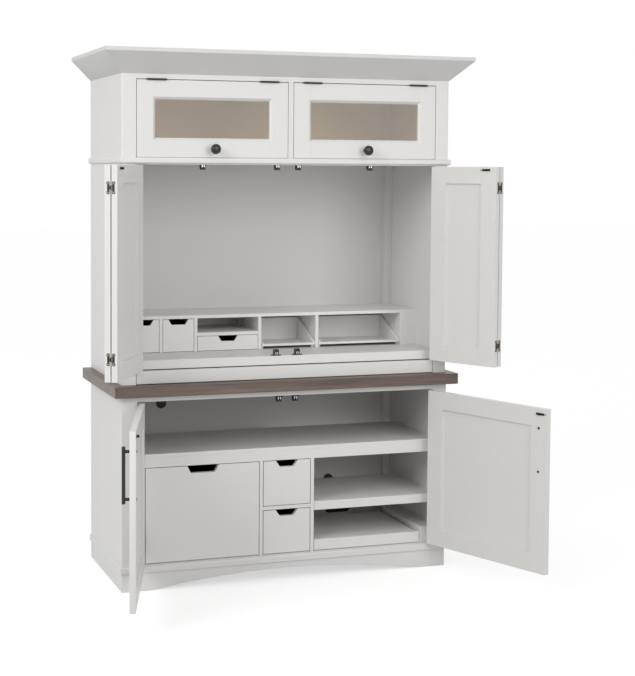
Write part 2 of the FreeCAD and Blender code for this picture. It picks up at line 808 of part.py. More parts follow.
def organizer_drawers():
    notch = (s.organizer_notch_top, s.organizer_notch_bottom, s.organizer_notch_depth)
    front_back = organizer_front + s.organizer_front
    places = (("organizer_drawer_left", column_1, column_2 - s.organizer_board, organizer_under),
              ("organizer_drawer_middle", column_2, column_3 - s.organizer_board, organizer_under),
              ("organizer_drawer_low", column_3, column_4 - s.organizer_board, slot_shelf_bottom))
    for name, left, right, ceiling in places:
        left, right = left + s.organizer_reveal, right - s.organizer_reveal
        top = ceiling - s.organizer_reveal
        front = notched_front(name + "_front", left, right, organizer_front, front_back,
                              surface_level + s.organizer_reveal, top, notch)
        box = drawer_box(name + "_box", left, right, front_back, back_face - s.organizer_box_setback,
                         surface_level + s.glide_clearance, top - s.organizer_notch_depth,
                         s.organizer_side)
        subpart(name, front, *box)


def letter_trays():
    """Two open trays with sides that slope up to the back."""
    bottom = surface_level + s.letter_tray_lift + s.glide_clearance
    floor_top = bottom + s.letter_tray_floor
    lip_top = surface_level + s.letter_tray_lip
    back_top = surface_level + s.letter_tray_back
    front = organizer_front - s.letter_tray_setback
    back = front + s.letter_tray_depth
    side = s.letter_tray_side
    for name, left, right in (("letter_tray_left", column_4, column_5 - s.organizer_board),
                              ("letter_tray_right", column_5, column_end)):
        left, right = left + s.organizer_reveal, right - s.organizer_reveal
        outline = [(front, bottom), (back, bottom), (back, back_top), (back - side, back_top),
                   (front, lip_top)]
        sides = [extrusion(name + "_side_left", "x", outline, left, left + side),
                 extrusion(name + "_side_right", "x", outline, right - side, right)]
        floor = block(name + "_floor", (left + side, front, bottom), (right - side, back, floor_top))
        lip = block(name + "_lip", (left + side, front, floor_top), (right - side, front + side, lip_top))
        rear = block(name + "_rear", (left + side, back - side, floor_top), (right - side, back, back_top))
        subpart(name, *sides, floor, lip, rear)


# ------------------------------------------------------------------------ doors
# Door pieces are drawn about the hinge pin, with the door shut, and then turned open.
door_face = s.stile_knuckle / 2 + s.knuckle_clearance
door_back = door_face + s.door_thickness
fold_face = s.fold_knuckle / 2 + s.knuckle_clearance
fold_y = door_face - fold_face
leaf_near = s.door_gap / 2
base_pin_x = base_opening - s.door_gap / 2
base_pin_y = base_front - door_face
base_leaf_far = base_pin_x - s.door_meeting_gap / 2
base_door_bottom = cap_top + s.base_door_lift
base_door_top = base_top - s.base_top_rail - s.door_gap
hutch_pin_x = hutch_opening - s.door_gap / 2
hutch_pin_y = hutch_front - door_face
hutch_leaf_far = hutch_pin_x - s.door_meeting_gap / 2
bifold_bottom = keyboard_top + s.bifold_lift
bifold_top = mid_rail_bottom - s.door_gap
fold_line = hutch_pin_x / 2 + s.fold_shift
base_catch_seat = base_top - s.stretcher_height
strike_setback = s.catch_height - s.strike_height / 2
base_strike_level = base_catch_seat - strike_setback
upper_strike_level = mid_shelf_bottom - strike_setback
lower_strike_level = surface_level + strike_setback
inner_strike_x = fold_line - s.inner_catch_setback


def hinge_kind(knuckle, pin, ear, knuckle_length, leaf_length, leaf_start, leaf_width):
    """The sizes of one kind of hinge; its leaf starts at a distance from the pin."""
    return SimpleNamespace(knuckle=knuckle, pin=pin, ear=ear, end=knuckle_length / 2,
                           leaf_end=leaf_length / 2, leaf_start=leaf_start,
                           leaf_back=leaf_start + leaf_width)


# Butt hinges on the stiles and over the glass doors, and butterfly hinges on the folds.
stile_hinge = hinge_kind(s.stile_knuckle, s.stile_pin, s.stile_ear, s.stile_hinge_height,
                         s.stile_hinge_height, door_face, s.hinge_leaf_width)
glass_hinge = hinge_kind(s.stile_knuckle, s.stile_pin, s.stile_ear, s.glass_hinge_length,
                         s.glass_hinge_length, door_face, s.hinge_leaf_width)
fold_hinge = hinge_kind(s.fold_knuckle, s.fold_pin, s.fold_ear, s.fold_knuckle_length,
                        s.fold_hinge_height, fold_face + s.wing_setback, s.wing_width)


def bevelled_opening(name, left, right, bottom, top, face):
    """A tool that cuts a door's opening with a bevel round its face side."""
    tool = doc.addObject("Part::Wedge", name)
    bounds = {"Xmin": left - s.door_bevel, "Xmax": right + s.door_bevel,
              "Zmin": bottom - s.door_bevel, "Zmax": top + s.door_bevel, "Ymin": face,
              "X2min": left, "X2max": right, "Z2min": bottom, "Z2max": top, "Ymax": face + s.door_lip}
    for prop, size in bounds.items():
        bind(tool, prop, size)
    return tool


def framed_door(name, first, second, bottom, top, face, stile, rail, panel_thickness):
    """Two stiles, two rails and the panel between them; the panel comes last."""
    left, right = (first, second) if first.value < second.value else (second, first)
    back = face + s.door_thickness
    open_left, open_right, open_bottom, open_top = left + stile, right - stile, bottom + rail, top - rail
    tool = bevelled_opening(name + "_bevel", open_left, open_right, open_bottom, open_top, face)
    members = {
        "stile_left": ((left, face, bottom), (open_left, back, top)),
        "stile_right": ((open_right, face, bottom), (right, back, top)),
        "rail_bottom": ((open_left, face, bottom), (open_right, back, open_bottom)),
        "rail_top": ((open_left, face, open_top), (open_right, back, top)),
    }
    pieces = []
    for member, corners in members.items():
        member_name = "%s_%s" % (name, member)
        pieces.append(cut(member_name, block(member_name + "_board", *corners), tool))
    panel_front = face + s.door_lip
    pieces.append(block(name + "_panel", (open_left, panel_front, open_bottom),
                        (open_right, panel_front + panel_thickness, open_top)))
    return pieces


def hinge_half(name, hand, moving, centre, kind, axis="z"):
    """One half of a hinge about a pin. The fixed leaf has two square ears, which hold the
    pin between them; the moving leaf has a bored sleeve that turns on it."""
    across, along, level = centre
    side = hand if moving else -hand
    near, far = side * (s.door_gap / 2 - s.hinge_leaf), side * s.door_gap / 2
    ear_start = kind.end - kind.ear

    def spot(offset, out, run):
        if axis == "z":
            return (across + offset, along + out, level + run)
        return (across + run, along + out, level - offset)

    def round_bar(label, reach, diameter):
        return rod(label, axis, spot(0, 0, -reach), 2 * reach, diameter)

    def web(label, low, high):
        return block(label, spot(near, 0, low), spot(far, kind.leaf_start, high))

    leaf = block(name + "_leaf", spot(near, kind.leaf_start, -kind.leaf_end),
                 spot(far, kind.leaf_back, kind.leaf_end))
    if moving:
        reach = ear_start - s.hinge_end_gap
        sleeve = round_bar(name + "_sleeve", reach, kind.knuckle)
        body = fuse(name + "_body", leaf, web(name + "_web", -reach, reach), sleeve)
        return cut(name, body, round_bar(name + "_bore", reach, kind.pin + 2 * s.hinge_bore_clearance))
    pieces = [leaf, round_bar(name + "_pin", kind.end - kind.ear / 2, kind.pin)]
    ear = kind.ear / 2
    for number, (low, high) in enumerate(((-kind.end, -ear_start), (ear_start, kind.end)), start=1):
        pieces.append(block("%s_ear%d" % (name, number), spot(-ear, -ear, low), spot(ear, ear, high)))
        pieces.append(web("%s_web%d" % (name, number), low, high))
    return fuse(name, *pieces)


def hinge_row(name, hand, kind, levels, fixed_pin):
    """Both halves of each hinge up one edge. The moving ones are drawn about their pin."""
    moving, fixed = [], []
    for number, level in enumerate(levels, start=1):
        moving.append(hinge_half("%s_moving%d" % (name, number), hand, True, (0, 0, level), kind))
        fixed.append(hinge_half("%s_fixed%d" % (name, number), hand, False, (*fixed_pin, level), kind))
    return moving, fixed


def bar_pull(name, centre, face, level):
    """A square bar on two square posts, standing out from a door's face."""
    bar_front = face - s.pull_reach
    bar_back = bar_front + s.pull_bar
    pieces = [block(name + "_bar", (centre - s.pull_bar / 2, bar_front, level - s.pull_length / 2),
                    (centre + s.pull_bar / 2, bar_back, level + s.pull_length / 2))]
    for number, hand in enumerate((LEFT, RIGHT), start=1):
        middle = level + hand * s.pull_post_spacing / 2
        pieces.append(block("%s_post%d" % (name, number),
                            (centre - s.pull_post / 2, bar_back, middle - s.pull_post / 2),
                            (centre + s.pull_post / 2, face, middle + s.pull_post / 2)))
    return fuse(name, *pieces)


def strike(name, centre, back, level):
    """A plate on a door's back with a tongue that enters the catch."""
    plate_back = back + s.strike_thickness
    low, high = level - s.strike_height / 2, level + s.strike_height / 2
    plate = block(name + "_plate", (centre - s.strike_width / 2, back, low),
                  (centre + s.strike_width / 2, plate_back, high))
    tongue = block(name + "_tongue", (centre - s.tongue_thickness / 2, plate_back, low),
                   (centre + s.tongue_thickness / 2, plate_back + s.strike_tongue, high))
    return fuse(name, plate, tongue)


def catch(name, centre, front, seat, hand):
    """A catch under a board (hand -1) or on one (hand 1): a plate and two jaws."""
    plate_edge = seat + hand * s.catch_plate_thickness
    back = front + s.catch_depth
    plate = block(name + "_plate", (centre - s.catch_plate_width / 2, front, seat),
                  (centre + s.catch_plate_width / 2, back, plate_edge))
    jaws = [block("%s_jaw%d" % (name, number), (centre + side * s.catch_mouth / 2, front, plate_edge),
                  (centre + side * (s.catch_mouth / 2 + s.catch_jaw), back, seat + hand * s.catch_height))
            for number, side in enumerate((LEFT, RIGHT), start=1)]
    return [plate] + jaws


def base_doors():
    fixed_halves = []
    levels = (base_door_bottom + s.base_hinge_inset, base_door_top - s.base_hinge_inset)
    for hand, side in SIDES:
        name = "base_door_" + side
        inward = -hand
        turn = hand * (s.base_left_angle if hand == LEFT else s.base_right_angle)
        pin = (hand * base_pin_x, base_pin_y)
        leaf = framed_door(name + "_leaf", inward * leaf_near, inward * base_leaf_far,
                           base_door_bottom, base_door_top, door_face,
                           s.base_door_stile, s.base_door_rail, s.door_panel)
        hardware, fixed = hinge_row(name + "_hinge", inward, stile_hinge, levels, pin)
        fixed_halves += fixed
        hardware.append(bar_pull(name + "_pull", inward * (base_leaf_far - s.pull_inset), door_face,
                                 base_door_top - s.pull_drop))
        hardware.append(strike(name + "_strike", inward * (base_pin_x - s.base_catch_x), door_back,
                               base_strike_level))
        subpart(name, turned_group(name + "_open", leaf, (*pin, 0), turn))
        subpart(name + "_hardware", turned_group(name + "_hardware_open", hardware, (*pin, 0), turn))
    return fixed_halves


def bifold_doors():
    fixed_halves = []
    stile_levels = (bifold_bottom + s.bifold_hinge_inset, bifold_top - s.bifold_hinge_inset)
    fold_levels = (bifold_bottom + s.fold_hinge_inset, bifold_top - s.fold_hinge_inset)
    members = (s.bifold_stile, s.bifold_rail, s.door_panel)
    outer_strike_x = hutch_pin_x - s.upper_catch_x - fold_line
    for hand, side in SIDES:
        name = "bifold_" + side
        inward = -hand
        turn = hand * (s.bifold_left_angle if hand == LEFT else s.bifold_right_angle)
        pin = (hand * hutch_pin_x, hutch_pin_y)
        fold = (inward * fold_line, fold_y)
        inner_leaf = framed_door(name + "_inner_leaf", inward * leaf_near, inward * (fold_line - leaf_near),
                                 bifold_bottom, bifold_top, door_face, *members)
        stile_halves, fixed = hinge_row(name + "_hinge", inward, stile_hinge, stile_levels, pin)
        fixed_halves += fixed
        outer_halves, inner_halves = hinge_row(name + "_fold", inward, fold_hinge, fold_levels, fold)
        inner_strike = strike(name + "_inner_strike", inward * inner_strike_x, door_back,
                              upper_strike_level)
        # the outer panel is drawn about the fold pin, then folded flat against the inner one
        outer_leaf = framed_door(name + "_outer_leaf", inward * leaf_near,
                                 inward * (hutch_leaf_far - fold_line),
                                 bifold_bottom, bifold_top, fold_face, *members)
        outer_strikes = [strike("%s_outer_strike_%s" % (name, end), inward * outer_strike_x,
                                fold_face + s.door_thickness, level)
                         for end, level in (("top", upper_strike_level),
                                            ("bottom", lower_strike_level))]

        def opened(label, pieces):
            return turned_group(label + "_open", pieces, (*pin, 0), turn)

        def folded(label, pieces):
            group = turned_group(label + "_folded", pieces, (*fold, 0), hand * s.fold_angle)
            return opened(label, [group])

        subpart(name + "_inner", opened(name + "_inner", inner_leaf))
        subpart(name + "_inner_hardware",
                opened(name + "_inner_hardware", stile_halves + inner_halves + [inner_strike]))
        subpart(name + "_outer", folded(name + "_outer", outer_leaf))
        subpart(name + "_outer_hardware", folded(name + "_outer_hardware", outer_halves + outer_strikes))
    return fixed_halves


def knob(name, across, face, level):
    """A turned knob: a neck, a flare and a wide rim, about an axis to the front."""
    flare_end = s.knob_neck_length + s.knob_flare
    reach = flare_end + s.knob_rim
    profile = [(0, 0), (s.knob_neck / 2, 0), (s.knob_neck / 2, -s.knob_neck_length),
               (s.knob / 2, -flare_end), (s.knob / 2, -reach), (0, -reach)]
    profile = [(as_size(out), as_size(along)) for out, along in profile]
    body = doc.addObject("PartDesign::Body", name)
    sketch = closed_sketch(body, name + "_profile", "XY_Plane", profile)
    turning = body.newObject("PartDesign::Revolution", name + "_turning")
    turning.Profile = sketch
    turning.ReferenceAxis = (sketch, ["V_Axis"])
    turning.Angle = 360
    place(body, (across, face, level))
    return body


def glass_doors():
    """Two doors hinged along their top edges, each with a pane and a knob."""
    fixed_halves = []
    bottom, top = mid_rail_top + s.glass_reveal, glass_opening_top - s.door_gap
    pin_level = glass_opening_top - s.door_gap / 2
    for hand, side in SIDES:
        name = "glass_door_" + side
        near, far = hand * (s.mullion / 2 + s.glass_reveal), hand * (hutch_opening - s.glass_reveal)
        *frame, pane = framed_door(name + "_leaf", near, far, bottom, top, hutch_front,
                                   s.glass_door_member, s.glass_door_member, s.glass)
        hardware = [knob(name + "_knob", (near + far) / 2, hutch_front, mid_rail_top + s.knob_rise)]
        places = (near + hand * s.glass_hinge_inset, far - hand * s.glass_hinge_inset)
        for number, across in enumerate(places, start=1):
            centre = (across, hutch_pin_y, pin_level)
            hinge_name = "%s_hinge_%%s%d" % (name, number)
            hardware.append(hinge_half(hinge_name % "moving", RIGHT, True, centre, glass_hinge, "x"))
            fixed_halves.append(hinge_half(hinge_name % "fixed", RIGHT, False, centre, glass_hinge, "x"))
        subpart(name, *frame)
        subpart("glass_pane_" + side, pane)
        subpart(name + "_hardware", *hardware)
    return fixed_halves


def catches():
    pieces = []
    inner_catch_x = hutch_pin_x - inner_strike_x
    for hand, side in SIDES:
        pieces += catch("base_catch_" + side, hand * s.base_catch_x, base_inside, base_catch_seat, -1)
        pieces += catch("upper_catch_" + side, hand * s.upper_catch_x, hutch_inside, mid_shelf_bottom, -1)
        pieces += catch("middle_catch_" + side, hand * inner_catch_x, hutch_inside, mid_shelf_bottom, -1)
        pieces += catch("floor_catch_" + side, hand * s.upper_catch_x, hutch_inside, surface_level, 1)
    subpart("ball_catches", *pieces)


# --------------------------------------------------------------------- assembly
base_case()
base_frame()
back_framing()
base_fittings()
countertop()
hutch_case()
work_surface()
mouldings()
organizer_case()
slide_channels = file_drawer() + printer_tray() + keyboard_drawer()
small_drawers()
organizer_drawers()
letter_trays()
fixed_hinges = base_doors() + bifold_doors() + glass_doors()
catches()
subpart("slide_channels", *slide_channels)
subpart("hinge_leaves_fixed", *fixed_hinges)
doc.recompute()

faulty = [item.Name for item in doc.Objects if "Invalid" in item.State or "Error" in item.State]
if faulty:
    raise RuntimeError("objects failed: " + ", ".join(faulty))
for item in subparts:
    if item.Shape.isNull() or not item.Shape.isValid():
        raise RuntimeError("sub-part has no valid shape: " + item.Label)

os.makedirs("parts", exist_ok=True)
for item in subparts:
    item.Shape.exportStep("parts/%s.step" % item.Label)
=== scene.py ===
import json
import math

import bmesh
import bpy
from mathutils import Matrix, Vector


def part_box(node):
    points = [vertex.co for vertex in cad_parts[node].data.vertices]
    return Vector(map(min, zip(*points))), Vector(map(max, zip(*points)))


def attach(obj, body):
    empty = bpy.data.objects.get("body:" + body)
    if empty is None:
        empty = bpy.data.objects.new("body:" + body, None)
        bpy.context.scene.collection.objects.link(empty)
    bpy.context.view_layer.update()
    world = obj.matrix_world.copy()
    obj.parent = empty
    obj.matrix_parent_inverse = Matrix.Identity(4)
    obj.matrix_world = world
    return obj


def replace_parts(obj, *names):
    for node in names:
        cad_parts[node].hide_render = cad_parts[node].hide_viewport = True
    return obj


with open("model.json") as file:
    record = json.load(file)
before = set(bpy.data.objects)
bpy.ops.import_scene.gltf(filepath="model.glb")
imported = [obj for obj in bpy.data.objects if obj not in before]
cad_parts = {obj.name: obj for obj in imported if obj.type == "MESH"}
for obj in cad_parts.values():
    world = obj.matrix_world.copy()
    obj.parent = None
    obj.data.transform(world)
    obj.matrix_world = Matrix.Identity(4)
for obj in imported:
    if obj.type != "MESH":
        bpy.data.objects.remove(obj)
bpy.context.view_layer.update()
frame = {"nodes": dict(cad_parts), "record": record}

# Base case. Two side boards, a bottom board and the posts and kick rail at the back: flat
# engineered boards, cut square, their edges eased with sandpaper before they are sprayed
# with a warm white satin paint.
SATIN = {"tone": 0.035, "roughness": 0.42, "bump": 0.12}
SPRAY_PATCHES = 2.3
SPRAY_GRAIN = 700
SPRAY_DEPTH = 0.0002
ROUGHNESS_SPREAD = 0.12
BOARD_EASING = 0.0009
JOINT_EASING = 0.0005
SHARP_CORNER = math.radians(25)
NEARLY_FLAT = math.radians(0.5)
SAME_POINT = 2e-6
GRID_PER_METRE = 1e5


def boards_of(node):
    """The triangles of a CAD node, sorted into its separate closed boards."""
    mesh = frame["nodes"][node].data
    boards, board, open_edges = [], set(), set()
    for polygon in mesh.polygons:
        corners = [tuple(round(along * GRID_PER_METRE) for along in mesh.vertices[vertex].co)
                   for vertex in polygon.vertices]
        for start, end in zip(corners, corners[1:] + corners[:1]):
            if (end, start) in open_edges:
                open_edges.remove((end, start))
            elif start != end:
                open_edges.add((start, end))
        board.add(polygon.index)
        if not open_edges:
            boards.append(board)
            board = set()
    return boards


def square_board(node, board):
    """A mesh of one board of a node, each flat face whole."""
    bm = bmesh.new()
    bm.from_mesh(frame["nodes"][node].data)
    others = [face for face in bm.faces if face.index not in board]
    bmesh.ops.delete(bm, geom=others, context="FACES")
    bmesh.ops.remove_doubles(bm, verts=bm.verts, dist=SAME_POINT)
    bmesh.ops.dissolve_limit(bm, angle_limit=NEARLY_FLAT, verts=bm.verts, edges=bm.edges)
    return bm


def round_off(bm, geom, radius, segments, affect="EDGES"):
    """Rounds some edges of a mesh, or the corners of an outline."""
    bmesh.ops.bevel(bm, geom=geom, affect=affect, offset=radius, offset_type="OFFSET",
                    segments=segments, profile=0.5, material=-1, clamp_overlap=True)


def ease(bm, easing, segments=2):
    """Rounds every sharp corner of a board."""
    sharp = [edge for edge in bm.edges if edge.is_manifold and edge.calc_face_angle() > SHARP_CORNER]
    round_off(bm, sharp, easing, segments)


def add_to(whole, part, place=None):
    """Adds a mesh to a larger one, at its place, and frees it."""
    if place is not None:
        bmesh.ops.transform(part, matrix=place, verts=part.verts)
    carrier = bpy.data.meshes.new("part")
    part.to_mesh(carrier)
    part.free()
    whole.from_mesh(carrier)
    bpy.data.meshes.remove(carrier)


def eased_boards(node, easing, numbers=None, shaded_inside=False, segments=2):
    """The boards of a node, or some of them by number, eased. All but the first may take the second material,
    painted shade.
    """
    whole = bmesh.new()
    for number, faces in enumerate(boards_of(node)):
        if numbers is None or number in numbers:
            board = square_board(node, faces)
            ease(board, easing, segments)
            for face in board.faces:
                face.material_index = 1 if shaded_inside and number else 0
            add_to(whole, board)
    return whole


def body_of(node):
    """The body that a CAD node moves with."""
    bodies = frame["record"]["behaviour"]["bodies"]
    return next(body for body, nodes in bodies.items() if node in nodes)


def finished(name, bm, body, slot, *materials):
    """A named piece made from a mesh, riding on its body."""
    mesh = bpy.data.meshes.new(name)
    bm.to_mesh(mesh)
    bm.free()
    piece = bpy.data.objects.new(name, mesh)
    bpy.context.scene.collection.objects.link(piece)
    for material in materials:
        mesh.materials.append(material)
    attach(piece, body)
    return piece


def sanded(node, easing, slot, *materials):
    """Stands for a CAD node: its boards, eased. With two materials, the second is painted shade on all but
    the first board.
    """
    whole = eased_boards(node, easing, shaded_inside=len(materials) > 1)
    piece = finished(node + ".sanded", whole, body_of(node), slot, *materials)
    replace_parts(piece, node)


def feed(shader_node, inputs):
    """Gives each input of a shader node its value, or the socket that feeds it."""
    for label, value in inputs.items():
        if isinstance(value, bpy.types.NodeSocket):
            shader_node.id_data.links.new(value, shader_node.inputs[label])
        else:
            shader_node.inputs[label].default_value = value


def node_in(tree, kind, inputs=None, **settings):
    """A new shader node with its settings and inputs."""
    shader_node = tree.nodes.new(kind)
    for label, value in settings.items():
        setattr(shader_node, label, value)
    feed(shader_node, inputs or {})
    return shader_node


def sprayed_film():
    """A group for every coat: broad unevenness of tone and gloss, and a fine sprayed grain."""
    group = bpy.data.node_groups.new("sprayed_film", "ShaderNodeTree")
    sides = (("INPUT", (("Colour", "Color"), ("Tone", "Float"), ("Roughness", "Float"), ("Grain", "Float"))),
             ("OUTPUT", (("Colour", "Color"), ("Roughness", "Float"), ("Height", "Float"))))
    for side, sockets in sides:
        for label, kind in sockets:
            group.interface.new_socket(label, in_out=side, socket_type="NodeSocket" + kind)
    given = node_in(group, "NodeGroupInput").outputs
    place = node_in(group, "ShaderNodeTexCoord").outputs["Object"]
    patches = node_in(group, "ShaderNodeTexNoise",
                      {"Vector": place, "Scale": SPRAY_PATCHES, "Detail": 3, "Roughness": 0.55})
    grain = node_in(group, "ShaderNodeTexNoise", {"Vector": place, "Scale": given["Grain"], "Detail": 2})
    centred = node_in(group, "ShaderNodeMath", {0: patches.outputs["Fac"], 1: 0.5}, operation="SUBTRACT")
    shift = node_in(group, "ShaderNodeMath", {0: centred.outputs[0], 1: given["Tone"]}, operation="MULTIPLY")
    level = node_in(group, "ShaderNodeMath", {0: shift.outputs[0], 1: 1}, operation="ADD")
    toned = node_in(group, "ShaderNodeVectorMath", {0: given["Colour"], "Scale": level.outputs[0]},
                    operation="SCALE")
    gloss = node_in(group, "ShaderNodeMath",
                    {0: centred.outputs[0], 1: ROUGHNESS_SPREAD, 2: given["Roughness"]},
                    operation="MULTIPLY_ADD")
    node_in(group, "NodeGroupOutput", {"Colour": toned.outputs[0], "Roughness": gloss.outputs[0],
                                       "Height": grain.outputs["Fac"]})
    return group


SPRAYED_FILM = sprayed_film()


def plain_material(name):
    """A material with its node tree and its Principled shader, ready for textures."""
    material = bpy.data.materials.new(name)
    material.use_nodes = True
    return material, material.node_tree, material.node_tree.nodes["Principled BSDF"]


def filmed(name, colour, tone, roughness, bump, grain=SPRAY_GRAIN, metallic=0):
    """A coated or plated finish over the shared film group."""
    material, tree, shader = plain_material(name)
    film = node_in(tree, "ShaderNodeGroup", node_tree=SPRAYED_FILM)
    feed(film, {"Colour": (*colour, 1), "Tone": tone, "Roughness": roughness, "Grain": grain})
    relief = node_in(tree, "ShaderNodeBump",
                     {"Height": film.outputs["Height"], "Strength": bump, "Distance": SPRAY_DEPTH})
    feed(shader, {"Base Color": film.outputs["Colour"], "Roughness": film.outputs["Roughness"],
                  "Normal": relief.outputs["Normal"], "Metallic": metallic})
    return material


paint = filmed("satin_paint", colour=(0.72, 0.712, 0.696), **SATIN)
for node in ("base_side_left", "base_side_right", "base_bottom_panel", "back_framing"):
    sanded(node, BOARD_EASING, "painted_wood", paint)

# Back panels. Thin hardboard sheets, painted on both faces, let in between the sides and
# held with small pan-head screws driven from behind.
panel_paint = filmed("panel_paint", colour=(0.68, 0.675, 0.652), tone=0.05, roughness=0.5, bump=0.2,
                     grain=420)


def coat(node, material):
    """Finishes a CAD node as it is."""
    for slot in frame["nodes"][node].material_slots:
        slot.material = material


for node in ("base_back_panel", "hutch_back_panel"):
    coat(node, panel_paint)

# Base front. Stiles and rails are butted and glued into a flat frame; the plinth board under
# it is sawn to a shallow arc, and a small rounded moulding caps the plinth on three sides.
sanded("base_face_frame", JOINT_EASING, "painted_wood", paint)
sanded("base_valance", BOARD_EASING, "painted_wood", paint)
sanded("base_cap_moulding", JOINT_EASING, "painted_wood", paint)

# Inside of the base. A long upper shelf on a front rail, two dividers with a short shelf
# between them, a loose shelf on four steel angles, and blocks that carry the drawer slides.
nickel = filmed("nickel_angle", colour=(0.55, 0.54, 0.52), tone=0.05, roughness=0.3, bump=0.1, metallic=1)
for node in ("base_deck", "base_deck_rail", "base_dividers", "adjustable_shelf", "slide_spacers"):
    sanded(node, BOARD_EASING, "painted_wood", paint)
coat("shelf_pins", nickel)

# Counter. A thick edge-glued hardwood top with a dark brown stain rubbed back so that the
# long grain shows, under a satin lacquer. It overhangs the base on the front and both sides.
COUNTER_EASING = 0.0022
BAND_STRETCH = (1.1, 22, 22)
BAND_SCALE = 1.6
PORE_STRETCH = (6, 260, 260)
PORE_DEPTH = 0.0004
DARK_STAIN = (0.062, 0.040, 0.030)
LIGHT_STAIN = (0.170, 0.116, 0.088)
IN_A_PORE = (0.55, 0.55, 0.55)
BETWEEN_PORES = (1, 1, 1)


def shaded(tree, mask, low, high):
    """Colours over a mask, between two ends. Each end is its level and its colour."""
    ramp = node_in(tree, "ShaderNodeValToRGB", {"Fac": mask})
    for element, (level, colour) in zip(ramp.color_ramp.elements, (low, high)):
        element.position = level
        element.color = (*colour, 1)
    return ramp.outputs["Color"]


def stained_wood():
    """Brown stain over long grain: broad bands and fine pores."""
    material, tree, shader = plain_material("stained_wood")
    place = node_in(tree, "ShaderNodeTexCoord").outputs["Object"]
    band_place = node_in(tree, "ShaderNodeMapping", {"Vector": place, "Scale": BAND_STRETCH}).outputs[0]
    bands = node_in(tree, "ShaderNodeTexNoise", {"Vector": band_place, "Scale": BAND_SCALE, "Detail": 5,
                                                 "Roughness": 0.6, "Distortion": 0.5}).outputs["Fac"]
    pore_place = node_in(tree, "ShaderNodeMapping", {"Vector": place, "Scale": PORE_STRETCH}).outputs[0]
    pores = node_in(tree, "ShaderNodeTexNoise",
                    {"Vector": pore_place, "Scale": 1, "Detail": 3}).outputs["Fac"]
    stain = shaded(tree, bands, (0.28, DARK_STAIN), (0.72, LIGHT_STAIN))
    pore_shade = shaded(tree, pores, (0.34, IN_A_PORE), (0.52, BETWEEN_PORES))
    wood = node_in(tree, "ShaderNodeMix", {0: 1, 6: stain, 7: pore_shade},
                   data_type="RGBA", blend_type="MULTIPLY")
    relief = node_in(tree, "ShaderNodeBump", {"Height": pores, "Strength": 0.25, "Distance": PORE_DEPTH})
    feed(shader, {"Base Color": wood.outputs[2], "Normal": relief.outputs["Normal"], "Roughness": 0.42,
                  "Coat Weight": 0.15, "Coat Roughness": 0.3})
    return material


sanded("countertop", COUNTER_EASING, "counter_wood", stained_wood())

# Hutch case. Side boards behind a face frame with rounded outer corners, a work surface, a
# shelf between the open bay and the glazed boxes, and a top board, painted like the base.
for node in ("hutch_side_left", "hutch_side_right", "hutch_mid_shelf", "hutch_top_panel", "work_surface"):
    sanded(node, BOARD_EASING, "painted_wood", paint)
sanded("hutch_face_frame", JOINT_EASING, "painted_wood", paint)

# Mouldings. A half-round belt below the glazed doors and a sloping crown, each mitred at the
# corners and glued round the front and sides. The crown's paint is a shade greyer, as painted
# shade for its downward-facing slope.
crown_paint = filmed("crown_paint", colour=(0.635, 0.63, 0.617), **SATIN)
sanded("belt_moulding", JOINT_EASING, "painted_wood", paint)
sanded("crown_moulding", JOINT_EASING, "painted_wood", crown_paint)

# Organizer. A low case of thin boards on the work surface, with small drawers, open slots and
# two letter trays, in the cabinet's paint made paler, as painted light on its shaded bay.
organizer_paint = filmed("organizer_paint", colour=(0.81, 0.80, 0.78), **SATIN)
for node in ("organizer_case", "letter_tray_left", "letter_tray_right"):
    sanded(node, JOINT_EASING, "painted_wood", organizer_paint)

# Drawers. Painted fronts with a finger notch in the top edge, on boxes coloured near black,
# as painted shade for the dark seen through the notches. The printer tray is a painted board with a lip.
# near-black for the drawer boxes, painted shade
drawer_box_shade = filmed("black_foil", colour=(0.014, 0.014, 0.014), tone=0.1, roughness=0.5, bump=0.3, grain=1100)
for node in ("file_drawer", "small_drawer_upper", "small_drawer_lower", "keyboard_drawer"):
    sanded(node, BOARD_EASING, "painted_wood", paint, drawer_box_shade)
# the organizer's drawer fronts take its paler paint, painted light
for node in ("organizer_drawer_left", "organizer_drawer_middle", "organizer_drawer_low"):
    sanded(node, BOARD_EASING, "painted_wood", organizer_paint, drawer_box_shade)
sanded("printer_tray", BOARD_EASING, "painted_wood", paint)

# Slides. Channels and bars of zinc-plated steel. The channels are screwed to the cabinet, and
# the bars that run in them to the sides of the file drawer, keyboard drawer and printer tray.
zinc = filmed("zinc_plate", colour=(0.50, 0.51, 0.52), tone=0.12, roughness=0.32, bump=0.1, grain=300,
              metallic=1)
for node in ("slide_channels", "file_drawer_slides", "keyboard_drawer_slides", "printer_tray_slides"):
    coat(node, zinc)

# Doors. Square stiles and rails with a small bevel round a flat recessed panel. The two upper
# fronts hold clear glass instead, and each side of the open bay has a pair of folding panels.
# the two brown glass colours are a painted reflection of a warm room; the third warms the lamp light let
# through, painted light
GLASS_DEEP_REFLECTION = (0.70, 0.565, 0.42)
GLASS_PALE_REFLECTION = (0.79, 0.665, 0.50)
GLASS_SHADOW = (0.85, 0.79, 0.70)
for node in ("base_door_left", "base_door_right", "bifold_left_inner", "bifold_left_outer",
             "bifold_right_inner", "bifold_right_outer", "glass_door_left", "glass_door_right"):
    sanded(node, JOINT_EASING, "painted_wood", paint)


